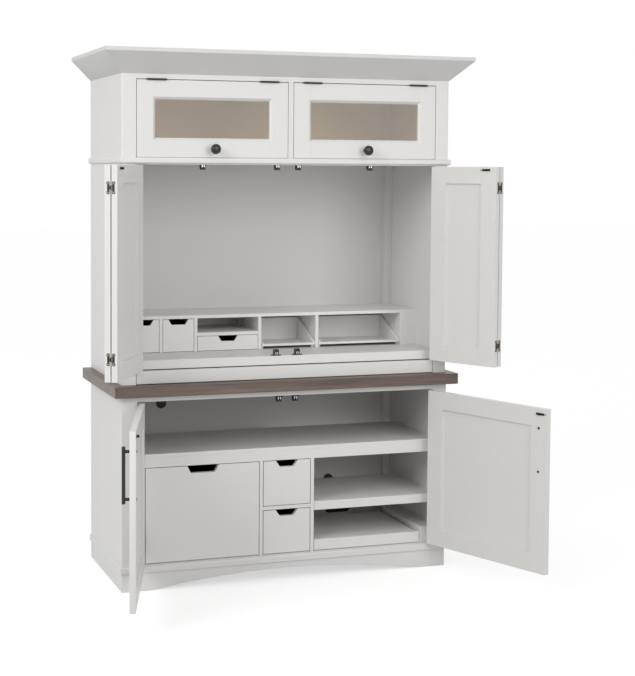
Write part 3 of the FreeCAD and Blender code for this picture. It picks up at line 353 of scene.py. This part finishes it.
def window_glass():
    """Clear float glass tinted brown as a painted reflection of a warm room. It lets the lamps through to the
    shelf, warmed by the same painted tint.
    """
    material, tree, shader = plain_material("window_glass")
    place = node_in(tree, "ShaderNodeTexCoord").outputs["Object"]
    reflection_patches = node_in(tree, "ShaderNodeTexNoise", {"Vector": place, "Scale": 6, "Detail": 1}).outputs["Fac"]
    feed(shader, {"Base Color": shaded(tree, reflection_patches, (0, GLASS_DEEP_REFLECTION), (1, GLASS_PALE_REFLECTION)), "Roughness": 0.02,
                  "IOR": 1.45, "Transmission Weight": 1})
    see_through = node_in(tree, "ShaderNodeBsdfTransparent", {"Color": (*GLASS_SHADOW, 1)})
    lamp_rays = node_in(tree, "ShaderNodeLightPath").outputs["Is Shadow Ray"]
    mixed = node_in(tree, "ShaderNodeMixShader",
                    {0: lamp_rays, 1: shader.outputs[0], 2: see_through.outputs[0]})
    feed(tree.nodes["Material Output"], {"Surface": mixed.outputs[0]})
    return material


glass = window_glass()
for node in ("glass_pane_left", "glass_pane_right"):
    coat(node, glass)

# Butt hinges, strikes and pulls. Pressed steel leaves with rolled knuckles, flat strike
# plates and square bar pulls, all under a matt black coat and held with black screws.
METAL_EASING = 0.00012
PULL_EASING = 0.0016
STILE_HALVES = (0, 1)
BASE_PULL = 2
BASE_STRIKE = 3
UPRIGHT = Vector((0, 0, 1))
LENGTHWISE = Vector((1, 0, 0))
CROSSWISE = Vector((0, 1, 0))
STILE_PITCH = 0.022
TOP_PITCH = 0.027
SCREW_LINE = 0.0012
SCREW_ZIGZAG = 0.003
STRIKE_PITCH = 0.027
PULL_PITCH = 0.15
ALMOST = 0.99
HEAD_SIDES = 16
HEAD_TAPER = 0.88
HEAD_BORDER = 0.3
RECESS_REACH = 0.66
RECESS_ARM = 0.13
RECESS_DEPTH = 0.7
CUT_TOLERANCE = 1e-7
# a matt black for the hardware, also the painted shade in the screw recesses
black_coat = filmed("black_coat", colour=(0.018, 0.017, 0.017), tone=0.3, roughness=0.4, bump=0.4, grain=500,
                    metallic=0.2)
screw_black = filmed("black_screw", colour=(0.035, 0.034, 0.033), tone=0.3, roughness=0.32, bump=0.4,
                     grain=900, metallic=0.6)
LEAF_SCREW = {"radius": 0.0026, "rise": 0.00013, "metal": screw_black}
PLATE_SCREW = {"radius": 0.0022, "rise": 0.0005, "metal": screw_black}
PULL_BOLT = {"radius": 0.0045, "rise": 0.0018, "metal": screw_black}


def flat_sides(node, number):
    """The flat faces of one board of a node, broadest first, as (middle, normal)."""
    board = square_board(node, boards_of(node)[number])
    broadest_first = sorted(board.faces, key=lambda face: -face.calc_area())
    sides = [(face.calc_center_bounds(), face.normal.copy()) for face in broadest_first]
    board.free()
    return sides


def bare_side(node, number, wood):
    """The broad side of a plate that faces away from the wood it is screwed to."""
    return next(side for side in flat_sides(node, number)[:2] if side[1].dot(wood - side[0]) < 0)


def middle_of(node):
    """The middle of a CAD node's box."""
    low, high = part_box(node)
    return (Vector(low) + Vector(high)) / 2


def recess_faces(bm, radius, rise, reach):
    """The faces on top of a screw head, out to a share of its radius."""
    return [face for face in bm.faces if face.calc_center_median().z > rise * ALMOST
            and face.calc_center_median().xy.length < radius * reach]


def push(bm, faces, way):
    """Extrudes faces by a distance and gives back the new ends."""
    made = bmesh.ops.extrude_face_region(bm, geom=faces)["geom"]
    ends = [vertex for vertex in made if isinstance(vertex, bmesh.types.BMVert)]
    bmesh.ops.translate(bm, verts=ends, vec=way)
    return [face for face in made if isinstance(face, bmesh.types.BMFace)]


def screw_head(radius, rise):
    """A screw head at the origin, facing up, with a cross recess."""
    bm = bmesh.new()
    bmesh.ops.create_cone(bm, cap_ends=True, segments=HEAD_SIDES, radius1=radius,
                          radius2=radius * HEAD_TAPER, depth=rise)
    bmesh.ops.translate(bm, verts=bm.verts, vec=UPRIGHT * (rise / 2))
    bmesh.ops.inset_region(bm, faces=recess_faces(bm, radius, rise, 1), thickness=radius * HEAD_BORDER)
    arm = radius * RECESS_ARM
    for across in (LENGTHWISE, CROSSWISE):
        for side in (-arm, arm):
            faces = recess_faces(bm, radius, rise, RECESS_REACH)
            geom = [part for face in faces for part in (face, *face.edges, *face.verts)]
            bmesh.ops.bisect_plane(bm, geom=list(dict.fromkeys(geom)), dist=CUT_TOLERANCE,
                                   plane_co=across * side, plane_no=across)
    cross = [face for face in recess_faces(bm, radius, rise, RECESS_REACH)
             if min(map(abs, face.calc_center_median().xy)) < arm]
    shaded_floors = push(bm, cross, UPRIGHT * (-rise * RECESS_DEPTH))
    bmesh.ops.delete(bm, geom=cross, context="FACES")
    # the floor of each recess takes the second material, black, as painted shade
    for face in shaded_floors:
        face.material_index = 1
    return bm


def screws(name, body, slot, spots, radius, rise, metal):
    """The screws that hold one piece, each a spot and the way it faces, their recesses black as painted
    shade.
    """
    whole = bmesh.new()
    for spot, normal in spots:
        turned = Vector(normal).to_track_quat("Z", "Y").to_matrix().to_4x4()
        add_to(whole, screw_head(radius, rise), Matrix.Translation(spot) @ turned)
    finished(name + ".screws", whole, body, slot, metal, black_coat)


def leaf_screws(node, number, wood, axis, pitch):
    """Three spots along one leaf of a butt hinge, in a shallow zigzag."""
    middle, normal = bare_side(node, number, wood)
    across = normal.cross(axis).normalized()
    if across.y < 0:
        across.negate()
    row = middle + across * SCREW_LINE
    return [(row - axis * pitch, normal), (row + across * SCREW_ZIGZAG, normal), (row + axis * pitch, normal)]


def strike_screws(node, number, wood):
    """A spot at each end of a strike plate."""
    middle, normal = bare_side(node, number, wood)
    along = normal.cross(UPRIGHT)
    return [(middle + along * step, normal) for step in (-STRIKE_PITCH / 2, STRIKE_PITCH / 2)]


for side in ("left", "right"):
    node = "base_door_%s_hardware" % side
    body = body_of(node)
    metal = eased_boards(node, METAL_EASING, STILE_HALVES + (BASE_STRIKE,))
    add_to(metal, eased_boards(node, PULL_EASING, (BASE_PULL,), segments=3))
    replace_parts(finished(node + ".black", metal, body, "black_metal", black_coat), node)
    door = middle_of("base_door_" + side)
    spots = [spot for half in STILE_HALVES for spot in leaf_screws(node, half, door, UPRIGHT, STILE_PITCH)]
    screws(node, body, "black_metal", spots, **LEAF_SCREW)
    # the pull's two bolts come through to the face of the door that carries the strike plate
    backward = bare_side(node, BASE_STRIKE, door)[1]
    door_face = min(flat_sides(node, BASE_STRIKE), key=lambda flat: flat[1].dot(backward))[0]
    long_sides = [middle for middle, normal in flat_sides(node, BASE_PULL)[:4]]
    pull = sum(long_sides, Vector()) / len(long_sides)
    through = pull + backward * (door_face - pull).dot(backward)
    bolts = [(through + UPRIGHT * step, backward) for step in (-PULL_PITCH / 2, PULL_PITCH / 2)]
    screws(node + "_bolts", body, "black_metal", bolts, **PULL_BOLT)
    screws(node + "_strike", body, "black_metal", strike_screws(node, BASE_STRIKE, door), **PLATE_SCREW)

node = "hinge_leaves_fixed"
leaves = eased_boards(node, METAL_EASING)
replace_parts(finished(node + ".black", leaves, "cabinet", "black_metal", black_coat), node)
spots = []
for number in range(len(boards_of(node))):
    middle, normal = flat_sides(node, number)[0]
    if abs(normal.x) > abs(normal.z):
        stile = middle + LENGTHWISE * math.copysign(1, middle.x)
        spots += leaf_screws(node, number, stile, UPRIGHT, STILE_PITCH)
    else:
        spots += leaf_screws(node, number, middle + UPRIGHT, LENGTHWISE, TOP_PITCH)
screws(node, "cabinet", "black_metal", spots, **LEAF_SCREW)

# Butterfly hinges on the folding panels. Cast wings with two round lobes either side of a
# short knuckle, in dark antique bronze, each held by two brass screws with bright heads.
WING_HALF = ((0.0041, 0.0), (0.0041, 0.0075), (0.0053, 0.0096), (0.0043, 0.0125), (0.0045, 0.0182),
             (0.0070, 0.0209), (0.0115, 0.0206), (0.0148, 0.0180), (0.0148, 0.0128), (0.0116, 0.0098),
             (0.0128, 0.0060), (0.0128, 0.0))
WING_ROUNDING = 0.0012
LOBE_ACROSS = 0.0096
LOBE_UP = 0.0155
KNUCKLE_RADIUS = 0.0015
SLEEVE_END = 0.0040
EAR_START = 0.0043
EAR_END = 0.0070
NECK_REACH = 0.0046
NECK_SHAVE = 0.02
TIP_RADIUS = KNUCKLE_RADIUS * 0.95
FOLD_FIXED = (2, 3)
FOLD_MOVING = (0, 1)
INNER_STRIKE = (4,)
OUTER_STRIKES = (2, 3)
bronze = filmed("antique_bronze", colour=(0.040, 0.030, 0.023), tone=0.8, roughness=0.36, bump=0.5,
                grain=260, metallic=0.7)
brass = filmed("brass_screw", colour=(0.74, 0.62, 0.42), tone=0.4, roughness=0.28, bump=0.3, grain=400,
               metallic=0.9)
WING_SCREW = {"radius": 0.0021, "rise": 0.00013, "metal": brass}


def wing(inner, outer):
    """One cast wing: across the leaf on X, its thickness on Y, its height on Z."""
    bm = bmesh.new()
    lower_half = [(across, -level) for across, level in reversed(WING_HALF[1:-1])]
    for across, level in WING_HALF + tuple(lower_half):
        bm.verts.new((across, inner, level))
    bm.faces.new(bm.verts)
    round_off(bm, bm.verts[:], WING_ROUNDING, segments=3, affect="VERTICES")
    push(bm, bm.faces[:], CROSSWISE * (outer - inner))
    bmesh.ops.recalc_face_normals(bm, faces=bm.faces)
    return bm


def block(bm, low, high):
    """A block between two corners."""
    verts = bmesh.ops.create_cube(bm, size=1)["verts"]
    bmesh.ops.scale(bm, verts=verts, vec=Vector(high) - Vector(low))
    bmesh.ops.translate(bm, verts=verts, vec=(Vector(high) + Vector(low)) / 2)
    return verts


def butterfly_half(node, number, pin, wood, sleeve):
    """A wing with its share of the knuckle, on the plate of a CAD hinge half, and its screws."""
    middle, normal = bare_side(node, number, wood)
    wood_side = next(flat[0] for flat in flat_sides(node, number) if flat[1].dot(normal) < -ALMOST)
    pin = Vector((pin.x, pin.y, middle.z))
    reach = middle - pin
    across = (reach - normal * reach.dot(normal)).normalized()
    inner, outer = (wood_side - pin).dot(normal), reach.dot(normal)
    bm = wing(inner, outer)
    runs = ((-SLEEVE_END, SLEEVE_END),) if sleeve else ((-EAR_END, -EAR_START), (EAR_START, EAR_END))
    for low, high in runs:
        bar = bmesh.ops.create_cone(bm, cap_ends=True, segments=20, radius1=KNUCKLE_RADIUS,
                                    radius2=KNUCKLE_RADIUS, depth=high - low)
        bmesh.ops.translate(bm, verts=bar["verts"], vec=UPRIGHT * ((low + high) / 2))
        block(bm, (0, inner * (1 - NECK_SHAVE), low),
              (NECK_REACH, outer + (inner - outer) * NECK_SHAVE, high))
        if not sleeve:
            tip = bmesh.ops.create_uvsphere(bm, u_segments=12, v_segments=8, radius=TIP_RADIUS)
            bmesh.ops.translate(bm, verts=tip["verts"], vec=UPRIGHT * (low if low < 0 else high))
    place = Matrix((across, normal, UPRIGHT)).transposed().to_4x4()
    place.translation = pin
    bmesh.ops.transform(bm, matrix=place, verts=bm.verts)
    if place.determinant() < 0:
        bmesh.ops.reverse_faces(bm, faces=bm.faces)
    lobes = pin + across * LOBE_ACROSS + normal * outer
    return bm, [(lobes + UPRIGHT * level, normal) for level in (-LOBE_UP, LOBE_UP)]


joints = {joint["name"]: joint for joint in frame["record"]["behaviour"]["joints"]}
for side in ("left", "right"):
    pin = Vector(joints["bifold_%s_fold" % side]["pos_m"])
    for leaf, halves, strikes, stile_halves in (("inner", FOLD_FIXED, INNER_STRIKE, STILE_HALVES),
                                                ("outer", FOLD_MOVING, OUTER_STRIKES, ())):
        node = "bifold_%s_%s_hardware" % (side, leaf)
        body = body_of(node)
        panel = middle_of("bifold_%s_%s" % (side, leaf))
        metal = eased_boards(node, METAL_EASING, stile_halves + strikes)
        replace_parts(finished(node + ".black", metal, body, "black_metal", black_coat), node)
        wings, lobes = bmesh.new(), []
        for half in halves:
            made, spots = butterfly_half(node, half, pin, panel, sleeve=leaf == "outer")
            add_to(wings, made)
            lobes += spots
        finished(node + ".butterflies", wings, body, "antique_metal", bronze)
        screws(node + "_wing", body, "antique_metal", lobes, **WING_SCREW)
        spots = [spot for strike in strikes for spot in strike_screws(node, strike, panel)]
        screws(node + "_strike", body, "black_metal", spots, **PLATE_SCREW)
        if stile_halves:
            spots = [spot for half in stile_halves
                     for spot in leaf_screws(node, half, panel, UPRIGHT, STILE_PITCH)]
            screws(node, body, "black_metal", spots, **LEAF_SCREW)

# Glass door fittings. A turned mushroom knob in black on each door, screwed from behind, and
# two black butt hinges let into its top edge.
KNOB_PROFILE = ((0, 0), (0.0085, 0), (0.0085, 0.0014), (0.0064, 0.0030), (0.0056, 0.0080), (0.0060, 0.0150),
                (0.0085, 0.0205), (0.0135, 0.0243), (0.0170, 0.0270), (0.0180, 0.0298), (0.0176, 0.0320),
                (0.0160, 0.0334), (0.0138, 0.0338), (0.0130, 0.0329), (0.0122, 0.0329), (0.0115, 0.0342),
                (0.0085, 0.0352), (0.0045, 0.0358), (0, 0.0359))
KNOB_STEPS = 56
KNOB = 0
GLASS_HALVES = (1, 2)
knob_coat = filmed("knob_coat", colour=(0.016, 0.015, 0.015), tone=0.3, roughness=0.24, bump=0.2, grain=500,
                   metallic=0.3)


def extent_of(node, board):
    """The low and high corners of one board of a node."""
    mesh = frame["nodes"][node].data
    points = [mesh.vertices[vertex].co for face in board for vertex in mesh.polygons[face].vertices]
    return [Vector(pick(point[axis] for point in points) for axis in range(3)) for pick in (min, max)]


def turned_knob(across, front, level):
    """A knob turned about an axis to the front of the door."""
    bm = bmesh.new()
    ring = [bm.verts.new((out, -reach, 0)) for out, reach in KNOB_PROFILE]
    edges = [bm.edges.new(pair) for pair in zip(ring, ring[1:])]
    bmesh.ops.spin(bm, geom=ring + edges, axis=CROSSWISE, cent=(0, 0, 0), steps=KNOB_STEPS, angle=math.tau,
                   use_merge=True)
    bmesh.ops.remove_doubles(bm, verts=bm.verts, dist=SAME_POINT)
    bmesh.ops.recalc_face_normals(bm, faces=bm.faces)
    for face in bm.faces:
        face.smooth = True
    bmesh.ops.translate(bm, verts=bm.verts, vec=(across, front, level))
    return bm


for side in ("left", "right"):
    node = "glass_door_%s_hardware" % side
    body = body_of(node)
    metal = eased_boards(node, METAL_EASING, GLASS_HALVES)
    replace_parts(finished(node + ".black", metal, body, "black_metal", black_coat), node)
    low, high = extent_of(node, boards_of(node)[KNOB])
    knob = turned_knob((low.x + high.x) / 2, high.y, (low.z + high.z) / 2)
    finished("glass_door_%s_knob" % side, knob, body, "black_metal", knob_coat)
    door = middle_of("glass_door_" + side)
    spots = [spot for half in GLASS_HALVES for spot in leaf_screws(node, half, door, LENGTHWISE, TOP_PITCH)]
    screws(node, body, "black_metal", spots, **LEAF_SCREW)

# Catches. Black cast housings on a flange with two screws. A sprung steel ball on each side
# of the mouth grips the tongue of the door's strike, and a stop fills the far end.
BOARDS_PER_CATCH = 3
FLANGE_REACH = 0.019
FLANGE = 0.0019
FLANGE_ROUNDING = 0.004
MOUTH = 0.003
JAW = 0.0075
JAW_SLOPE = 0.0021
JAW_ROUNDING = 0.0012
STOP_START = 0.0095
STOP_BOTTOM = 0.55
STOP_TOP = 0.97
BALL = 0.0024
BALL_BED = 0.0012
BALL_HEIGHT = 0.018
BALL_DEPTH = 0.0035
LINER_PROUD = 0.0004
LINER_BED = 0.0022
LINER_FRONT = 0.0003
LINER_BOTTOM = 0.0045
LINER_TOP = 0.0125
CATCH_PITCH = 0.0296
steel = filmed("bright_steel", colour=(0.62, 0.62, 0.61), tone=0.15, roughness=0.25, bump=0.2, grain=600,
               metallic=0.9)
CATCH_SCREW = {"radius": 0.0022, "rise": 0.0007, "metal": screw_black}


def catch_parts(depth, height):
    """The black housing, and its steel balls and liners, drawn upright from the flange."""
    black, bright = bmesh.new(), bmesh.new()
    block(black, (-FLANGE_REACH, 0, 0), (FLANGE_REACH, depth, FLANGE))
    corners = [edge for edge in black.edges if abs(edge.verts[0].co.z - edge.verts[1].co.z) > FLANGE / 2]
    round_off(black, corners, FLANGE_ROUNDING, segments=4)
    for hand in (-1, 1):
        jaw = bmesh.new()
        low, high = sorted((hand * MOUTH, hand * (MOUTH + JAW)))
        for vertex in block(jaw, (low, 0, 0), (high, depth, height)):
            if vertex.co.z > height / 2 and abs(vertex.co.x) > MOUTH + JAW / 2:
                vertex.co.x -= hand * JAW_SLOPE
        ease(jaw, JAW_ROUNDING)
        add_to(black, jaw)
        ball = bmesh.ops.create_uvsphere(bright, u_segments=16, v_segments=10, radius=BALL)
        bmesh.ops.translate(bright, verts=ball["verts"],
                            vec=(hand * (MOUTH + BALL - BALL_BED), BALL_DEPTH, BALL_HEIGHT))
        low, high = sorted((hand * (MOUTH - LINER_PROUD), hand * (MOUTH + LINER_BED)))
        block(bright, (low, -LINER_FRONT, LINER_BOTTOM), (high, depth / 2, LINER_TOP))
    block(black, (-MOUTH, STOP_START, height * STOP_BOTTOM), (MOUTH, depth, height * STOP_TOP))
    return black, bright


node = "ball_catches"
black, bright, spots = bmesh.new(), bmesh.new(), []
boards = boards_of(node)
# each catch of the CAD node is a flange plate and then two jaws
for plate, jaw in zip(boards[::BOARDS_PER_CATCH], boards[1::BOARDS_PER_CATCH]):
    low, high = extent_of(node, plate)
    jaw_low, jaw_high = (corner.z for corner in extent_of(node, jaw))
    middle = (low + high) / 2
    if jaw_low < low.z:
        seat, way, height = high.z, -1, high.z - jaw_low
    else:
        seat, way, height = low.z, 1, jaw_high - low.z
    place = Matrix.Translation((middle.x, low.y, seat)) @ Matrix.Diagonal((1, 1, way, 1))
    for whole, part in zip((black, bright), catch_parts(high.y - low.y, height)):
        if way < 0:
            bmesh.ops.reverse_faces(part, faces=part.faces)
        add_to(whole, part, place)
    spots += [((middle.x + step, middle.y, seat + way * FLANGE), (0, 0, way))
              for step in (-CATCH_PITCH / 2, CATCH_PITCH / 2)]
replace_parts(finished(node + ".black", black, "cabinet", "black_metal", black_coat), node)
finished(node + ".balls", bright, "cabinet", "black_metal", steel)
screws(node, "cabinet", "black_metal", spots, **CATCH_SCREW)

# Cable openings. Each hole in the base's back panel has a black rubber rim, and two rows of
# short nylon bristles that meet in the middle and part round a cable. The bristles' black is
# painted shade, the dark seen through the holes.
ROUND_HOLE = {"width": 0.04, "height": 0.04, "rounding": 0.0199}
LONG_SLOT = {"width": 0.1, "height": 0.05, "rounding": 0.0124}
RIM = 0.0032
RIM_PROUD = 0.0011
BRISTLE = 0.0024
BRISTLE_OVERLAP = 0.56
BRISTLE_THICK = 0.0009
BRISTLE_PARTING = 0.0001
BRISTLE_ROWS = (0.0030, 0.0022)
rubber = filmed("black_rubber", colour=(0.016, 0.016, 0.016), tone=0.2, roughness=0.6, bump=0.5, grain=900)
# the bristles' black is painted shade for the dark holes
bristle_shade = filmed("black_bristle", colour=(0.012, 0.012, 0.012), tone=0.5, roughness=0.55, bump=0.3, grain=1500)
panel_front, panel_back = (corner[1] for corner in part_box("base_back_panel"))


def rim_mesh(across, level, width, height, rounding):
    """A rubber rim that lines an opening of the back panel and stands a little proud inside."""
    bm = bmesh.new()
    bmesh.ops.create_grid(bm, x_segments=1, y_segments=1, size=0.5)
    bmesh.ops.scale(bm, verts=bm.verts, vec=(width, height, 1))
    round_off(bm, bm.verts[:], rounding, segments=12, affect="VERTICES")
    opening = bm.faces[:]
    bmesh.ops.inset_region(bm, faces=opening, thickness=RIM, use_boundary=True, use_even_offset=True)
    bmesh.ops.delete(bm, geom=opening, context="FACES")
    front = panel_front - RIM_PROUD
    place = Matrix.Translation((across, front, level)) @ Matrix.Rotation(math.radians(90), 4, "X")
    bmesh.ops.transform(bm, verts=bm.verts, matrix=place)
    push(bm, bm.faces[:], CROSSWISE * (panel_back - front))
    bmesh.ops.recalc_face_normals(bm, faces=bm.faces)
    return bm


def brush_mesh(across, level, width, height, rounding):
    """Two rows of flat bristles, as long as the opening is high where each one stands."""
    bm = bmesh.new()
    count = int((width - RIM) / BRISTLE)
    for step in range(count):
        offset = (step - (count - 1) / 2) * BRISTLE
        into_corner = max(0, abs(offset) - (width / 2 - rounding))
        reach = height / 2 - rounding + math.sqrt(max(0, rounding ** 2 - into_corner ** 2)) - RIM / 2
        left = across + offset - BRISTLE * BRISTLE_OVERLAP
        right = across + offset + BRISTLE * BRISTLE_OVERLAP
        front = panel_front + BRISTLE_ROWS[step % 2]
        for low, high in ((level - reach, level - BRISTLE_PARTING), (level + BRISTLE_PARTING, level + reach)):
            block(bm, (left, front, low), (right, front + BRISTLE_THICK, high))
    return bm


openings = {opening["name"]: opening["box_m"] for opening in frame["record"]["physics"]["openings"]}
for name, size in (("cable_hole_left", ROUND_HOLE), ("cable_hole_right", ROUND_HOLE),
                   ("cable_slot", LONG_SLOT)):
    low, high = openings[name]
    across, level = (low[0] + high[0]) / 2, (low[2] + high[2]) / 2
    finished(name + ".rim", rim_mesh(across, level, **size), "cabinet", "black_metal", rubber)
    finished(name + ".bristles", brush_mesh(across, level, **size), "cabinet", "black_metal", bristle_shade)

# Panel screws. Zinc-plated pan heads round the edges of both back panels, rather more than a
# hand's length apart, driven from behind.
PANEL_INSET = 0.009
ROW_PITCH = 0.22
COLUMN_PITCH = 0.24
PANEL_SCREW = {"radius": 0.0034, "rise": 0.0016, "metal": zinc}
spots = []
for node in ("base_back_panel", "hutch_back_panel"):
    low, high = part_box(node)
    rows = max(2, round((high[2] - low[2]) / ROW_PITCH))
    columns = max(2, round((high[0] - low[0]) / COLUMN_PITCH))
    left, right = low[0] + PANEL_INSET, high[0] - PANEL_INSET
    bottom, top = low[2] + PANEL_INSET, high[2] - PANEL_INSET
    for row in range(rows + 1):
        level = bottom + (top - bottom) * row / rows
        spots += [((edge, panel_back, level), CROSSWISE) for edge in (left, right)]
    for column in range(1, columns):
        across = left + (right - left) * column / columns
        spots += [((across, panel_back, edge), CROSSWISE) for edge in (bottom, top)]
screws("back_panels", "cabinet", "slide_steel", spots, **PANEL_SCREW)

# Studio. A wide pale floor that keeps the cabinet's shadow, a key lamp high on the left, a
# softer fill from the front, and a pale surround that lights more from above than from low.
FLOOR_REACH = 30
FLOOR_DROP = 0.0005
FLOOR_GREY = (0.5, 0.5, 0.5, 1)
FLOOR_GLOW = 0.58
HORIZON_LIGHT = 0.42
CEILING_LIGHT = 0.85
WHITE = (1, 1, 1, 1)
LAMP_SIZE = 2.4
floor_mesh = bmesh.new()
bmesh.ops.create_grid(floor_mesh, x_segments=1, y_segments=1, size=FLOOR_REACH)
bmesh.ops.translate(floor_mesh, verts=floor_mesh.verts, vec=UPRIGHT * -FLOOR_DROP)
floor_data = bpy.data.meshes.new("floor")
floor_mesh.to_mesh(floor_data)
floor_mesh.free()
floor = bpy.data.objects.new("floor", floor_data)
bpy.context.scene.collection.objects.link(floor)


def seen_directly(tree):
    """1 for rays from the camera, a reflection or through glass; 0 for rays that light things."""
    ray = node_in(tree, "ShaderNodeLightPath").outputs
    first = node_in(tree, "ShaderNodeMath", {0: ray["Is Camera Ray"], 1: ray["Is Glossy Ray"]},
                    operation="MAXIMUM")
    return node_in(tree, "ShaderNodeMath", {0: first.outputs[0], 1: ray["Is Transmission Ray"]},
                   operation="MAXIMUM").outputs[0]


floor_paint, tree, shader = plain_material("floor_paint")
glow = node_in(tree, "ShaderNodeMath", {0: seen_directly(tree), 1: FLOOR_GLOW}, operation="MULTIPLY")
feed(shader, {"Base Color": FLOOR_GREY, "Roughness": 0.8, "Emission Color": WHITE,
              "Emission Strength": glow.outputs[0]})
floor_data.materials.append(floor_paint)

world = bpy.data.worlds.new("studio")
bpy.context.scene.world = world
world.use_nodes = True
tree = world.node_tree
tree.nodes.clear()
direction = node_in(tree, "ShaderNodeTexCoord").outputs["Generated"]
upward = node_in(tree, "ShaderNodeSeparateXYZ", {"Vector": direction}).outputs["Z"]
strength = node_in(tree, "ShaderNodeMapRange",
                   {"Value": upward, "To Min": HORIZON_LIGHT, "To Max": CEILING_LIGHT})
lighting = node_in(tree, "ShaderNodeBackground", {"Color": WHITE, "Strength": strength.outputs["Result"]})
backdrop = node_in(tree, "ShaderNodeBackground", {"Color": WHITE, "Strength": 1})
mixed = node_in(tree, "ShaderNodeMixShader",
                {0: seen_directly(tree), 1: lighting.outputs[0], 2: backdrop.outputs[0]})
node_in(tree, "ShaderNodeOutputWorld", {"Surface": mixed.outputs[0]})


def softbox(name, spot, aim, power):
    """A large square lamp that faces a point on the cabinet."""
    lamp = bpy.data.lights.new(name, "AREA")
    lamp.shape = "SQUARE"
    lamp.size = LAMP_SIZE
    lamp.energy = power
    holder = bpy.data.objects.new(name, lamp)
    holder.location = spot
    holder.rotation_mode = "QUATERNION"
    holder.rotation_quaternion = (Vector(aim) - Vector(spot)).to_track_quat("-Z", "Y")
    bpy.context.scene.collection.objects.link(holder)


softbox("key_lamp", spot=(-4.3, -2.9, 3.2), aim=(0, -0.3, 1.0), power=112)
softbox("fill_lamp", spot=(1.25, -4.8, 2.4), aim=(0, -0.3, 0.9), power=60)

# Camera. Stands left of the middle at eye height, over five metres off, and looks a little
# down. The shift of its lens places the cabinet in the frame.
CAMERA_SPOT = (-1.7802, -5.4442, 1.4680)
CAMERA_YAW = math.radians(18.32)
CAMERA_PITCH = math.radians(-3.217)
CAMERA_ROLL = 0.005
SENSOR = 36
LONG_SIDE = 676
FOCAL_PIXELS = 1478.51
SHIFT_ACROSS = 0.0969
SHIFT_UP = -0.1259
ahead = Vector((math.sin(CAMERA_YAW) * math.cos(CAMERA_PITCH), math.cos(CAMERA_YAW) * math.cos(CAMERA_PITCH),
                math.sin(CAMERA_PITCH)))
across = Vector((math.cos(CAMERA_YAW), -math.sin(CAMERA_YAW), 0))
above = across.cross(ahead)
right = across * math.cos(CAMERA_ROLL) + above * math.sin(CAMERA_ROLL)
up = above * math.cos(CAMERA_ROLL) - across * math.sin(CAMERA_ROLL)
camera_data = bpy.data.cameras.new("camera")
camera_data.sensor_width = SENSOR
camera_data.lens = FOCAL_PIXELS * SENSOR / LONG_SIDE
camera_data.shift_x = SHIFT_ACROSS
camera_data.shift_y = SHIFT_UP
camera = bpy.data.objects.new("camera", camera_data)
camera.matrix_world = Matrix.Translation(CAMERA_SPOT) @ Matrix((right, up, -ahead)).transposed().to_4x4()
bpy.context.scene.collection.objects.link(camera)
bpy.context.scene.camera = camera
bpy.context.scene.view_settings.view_transform = "Standard"
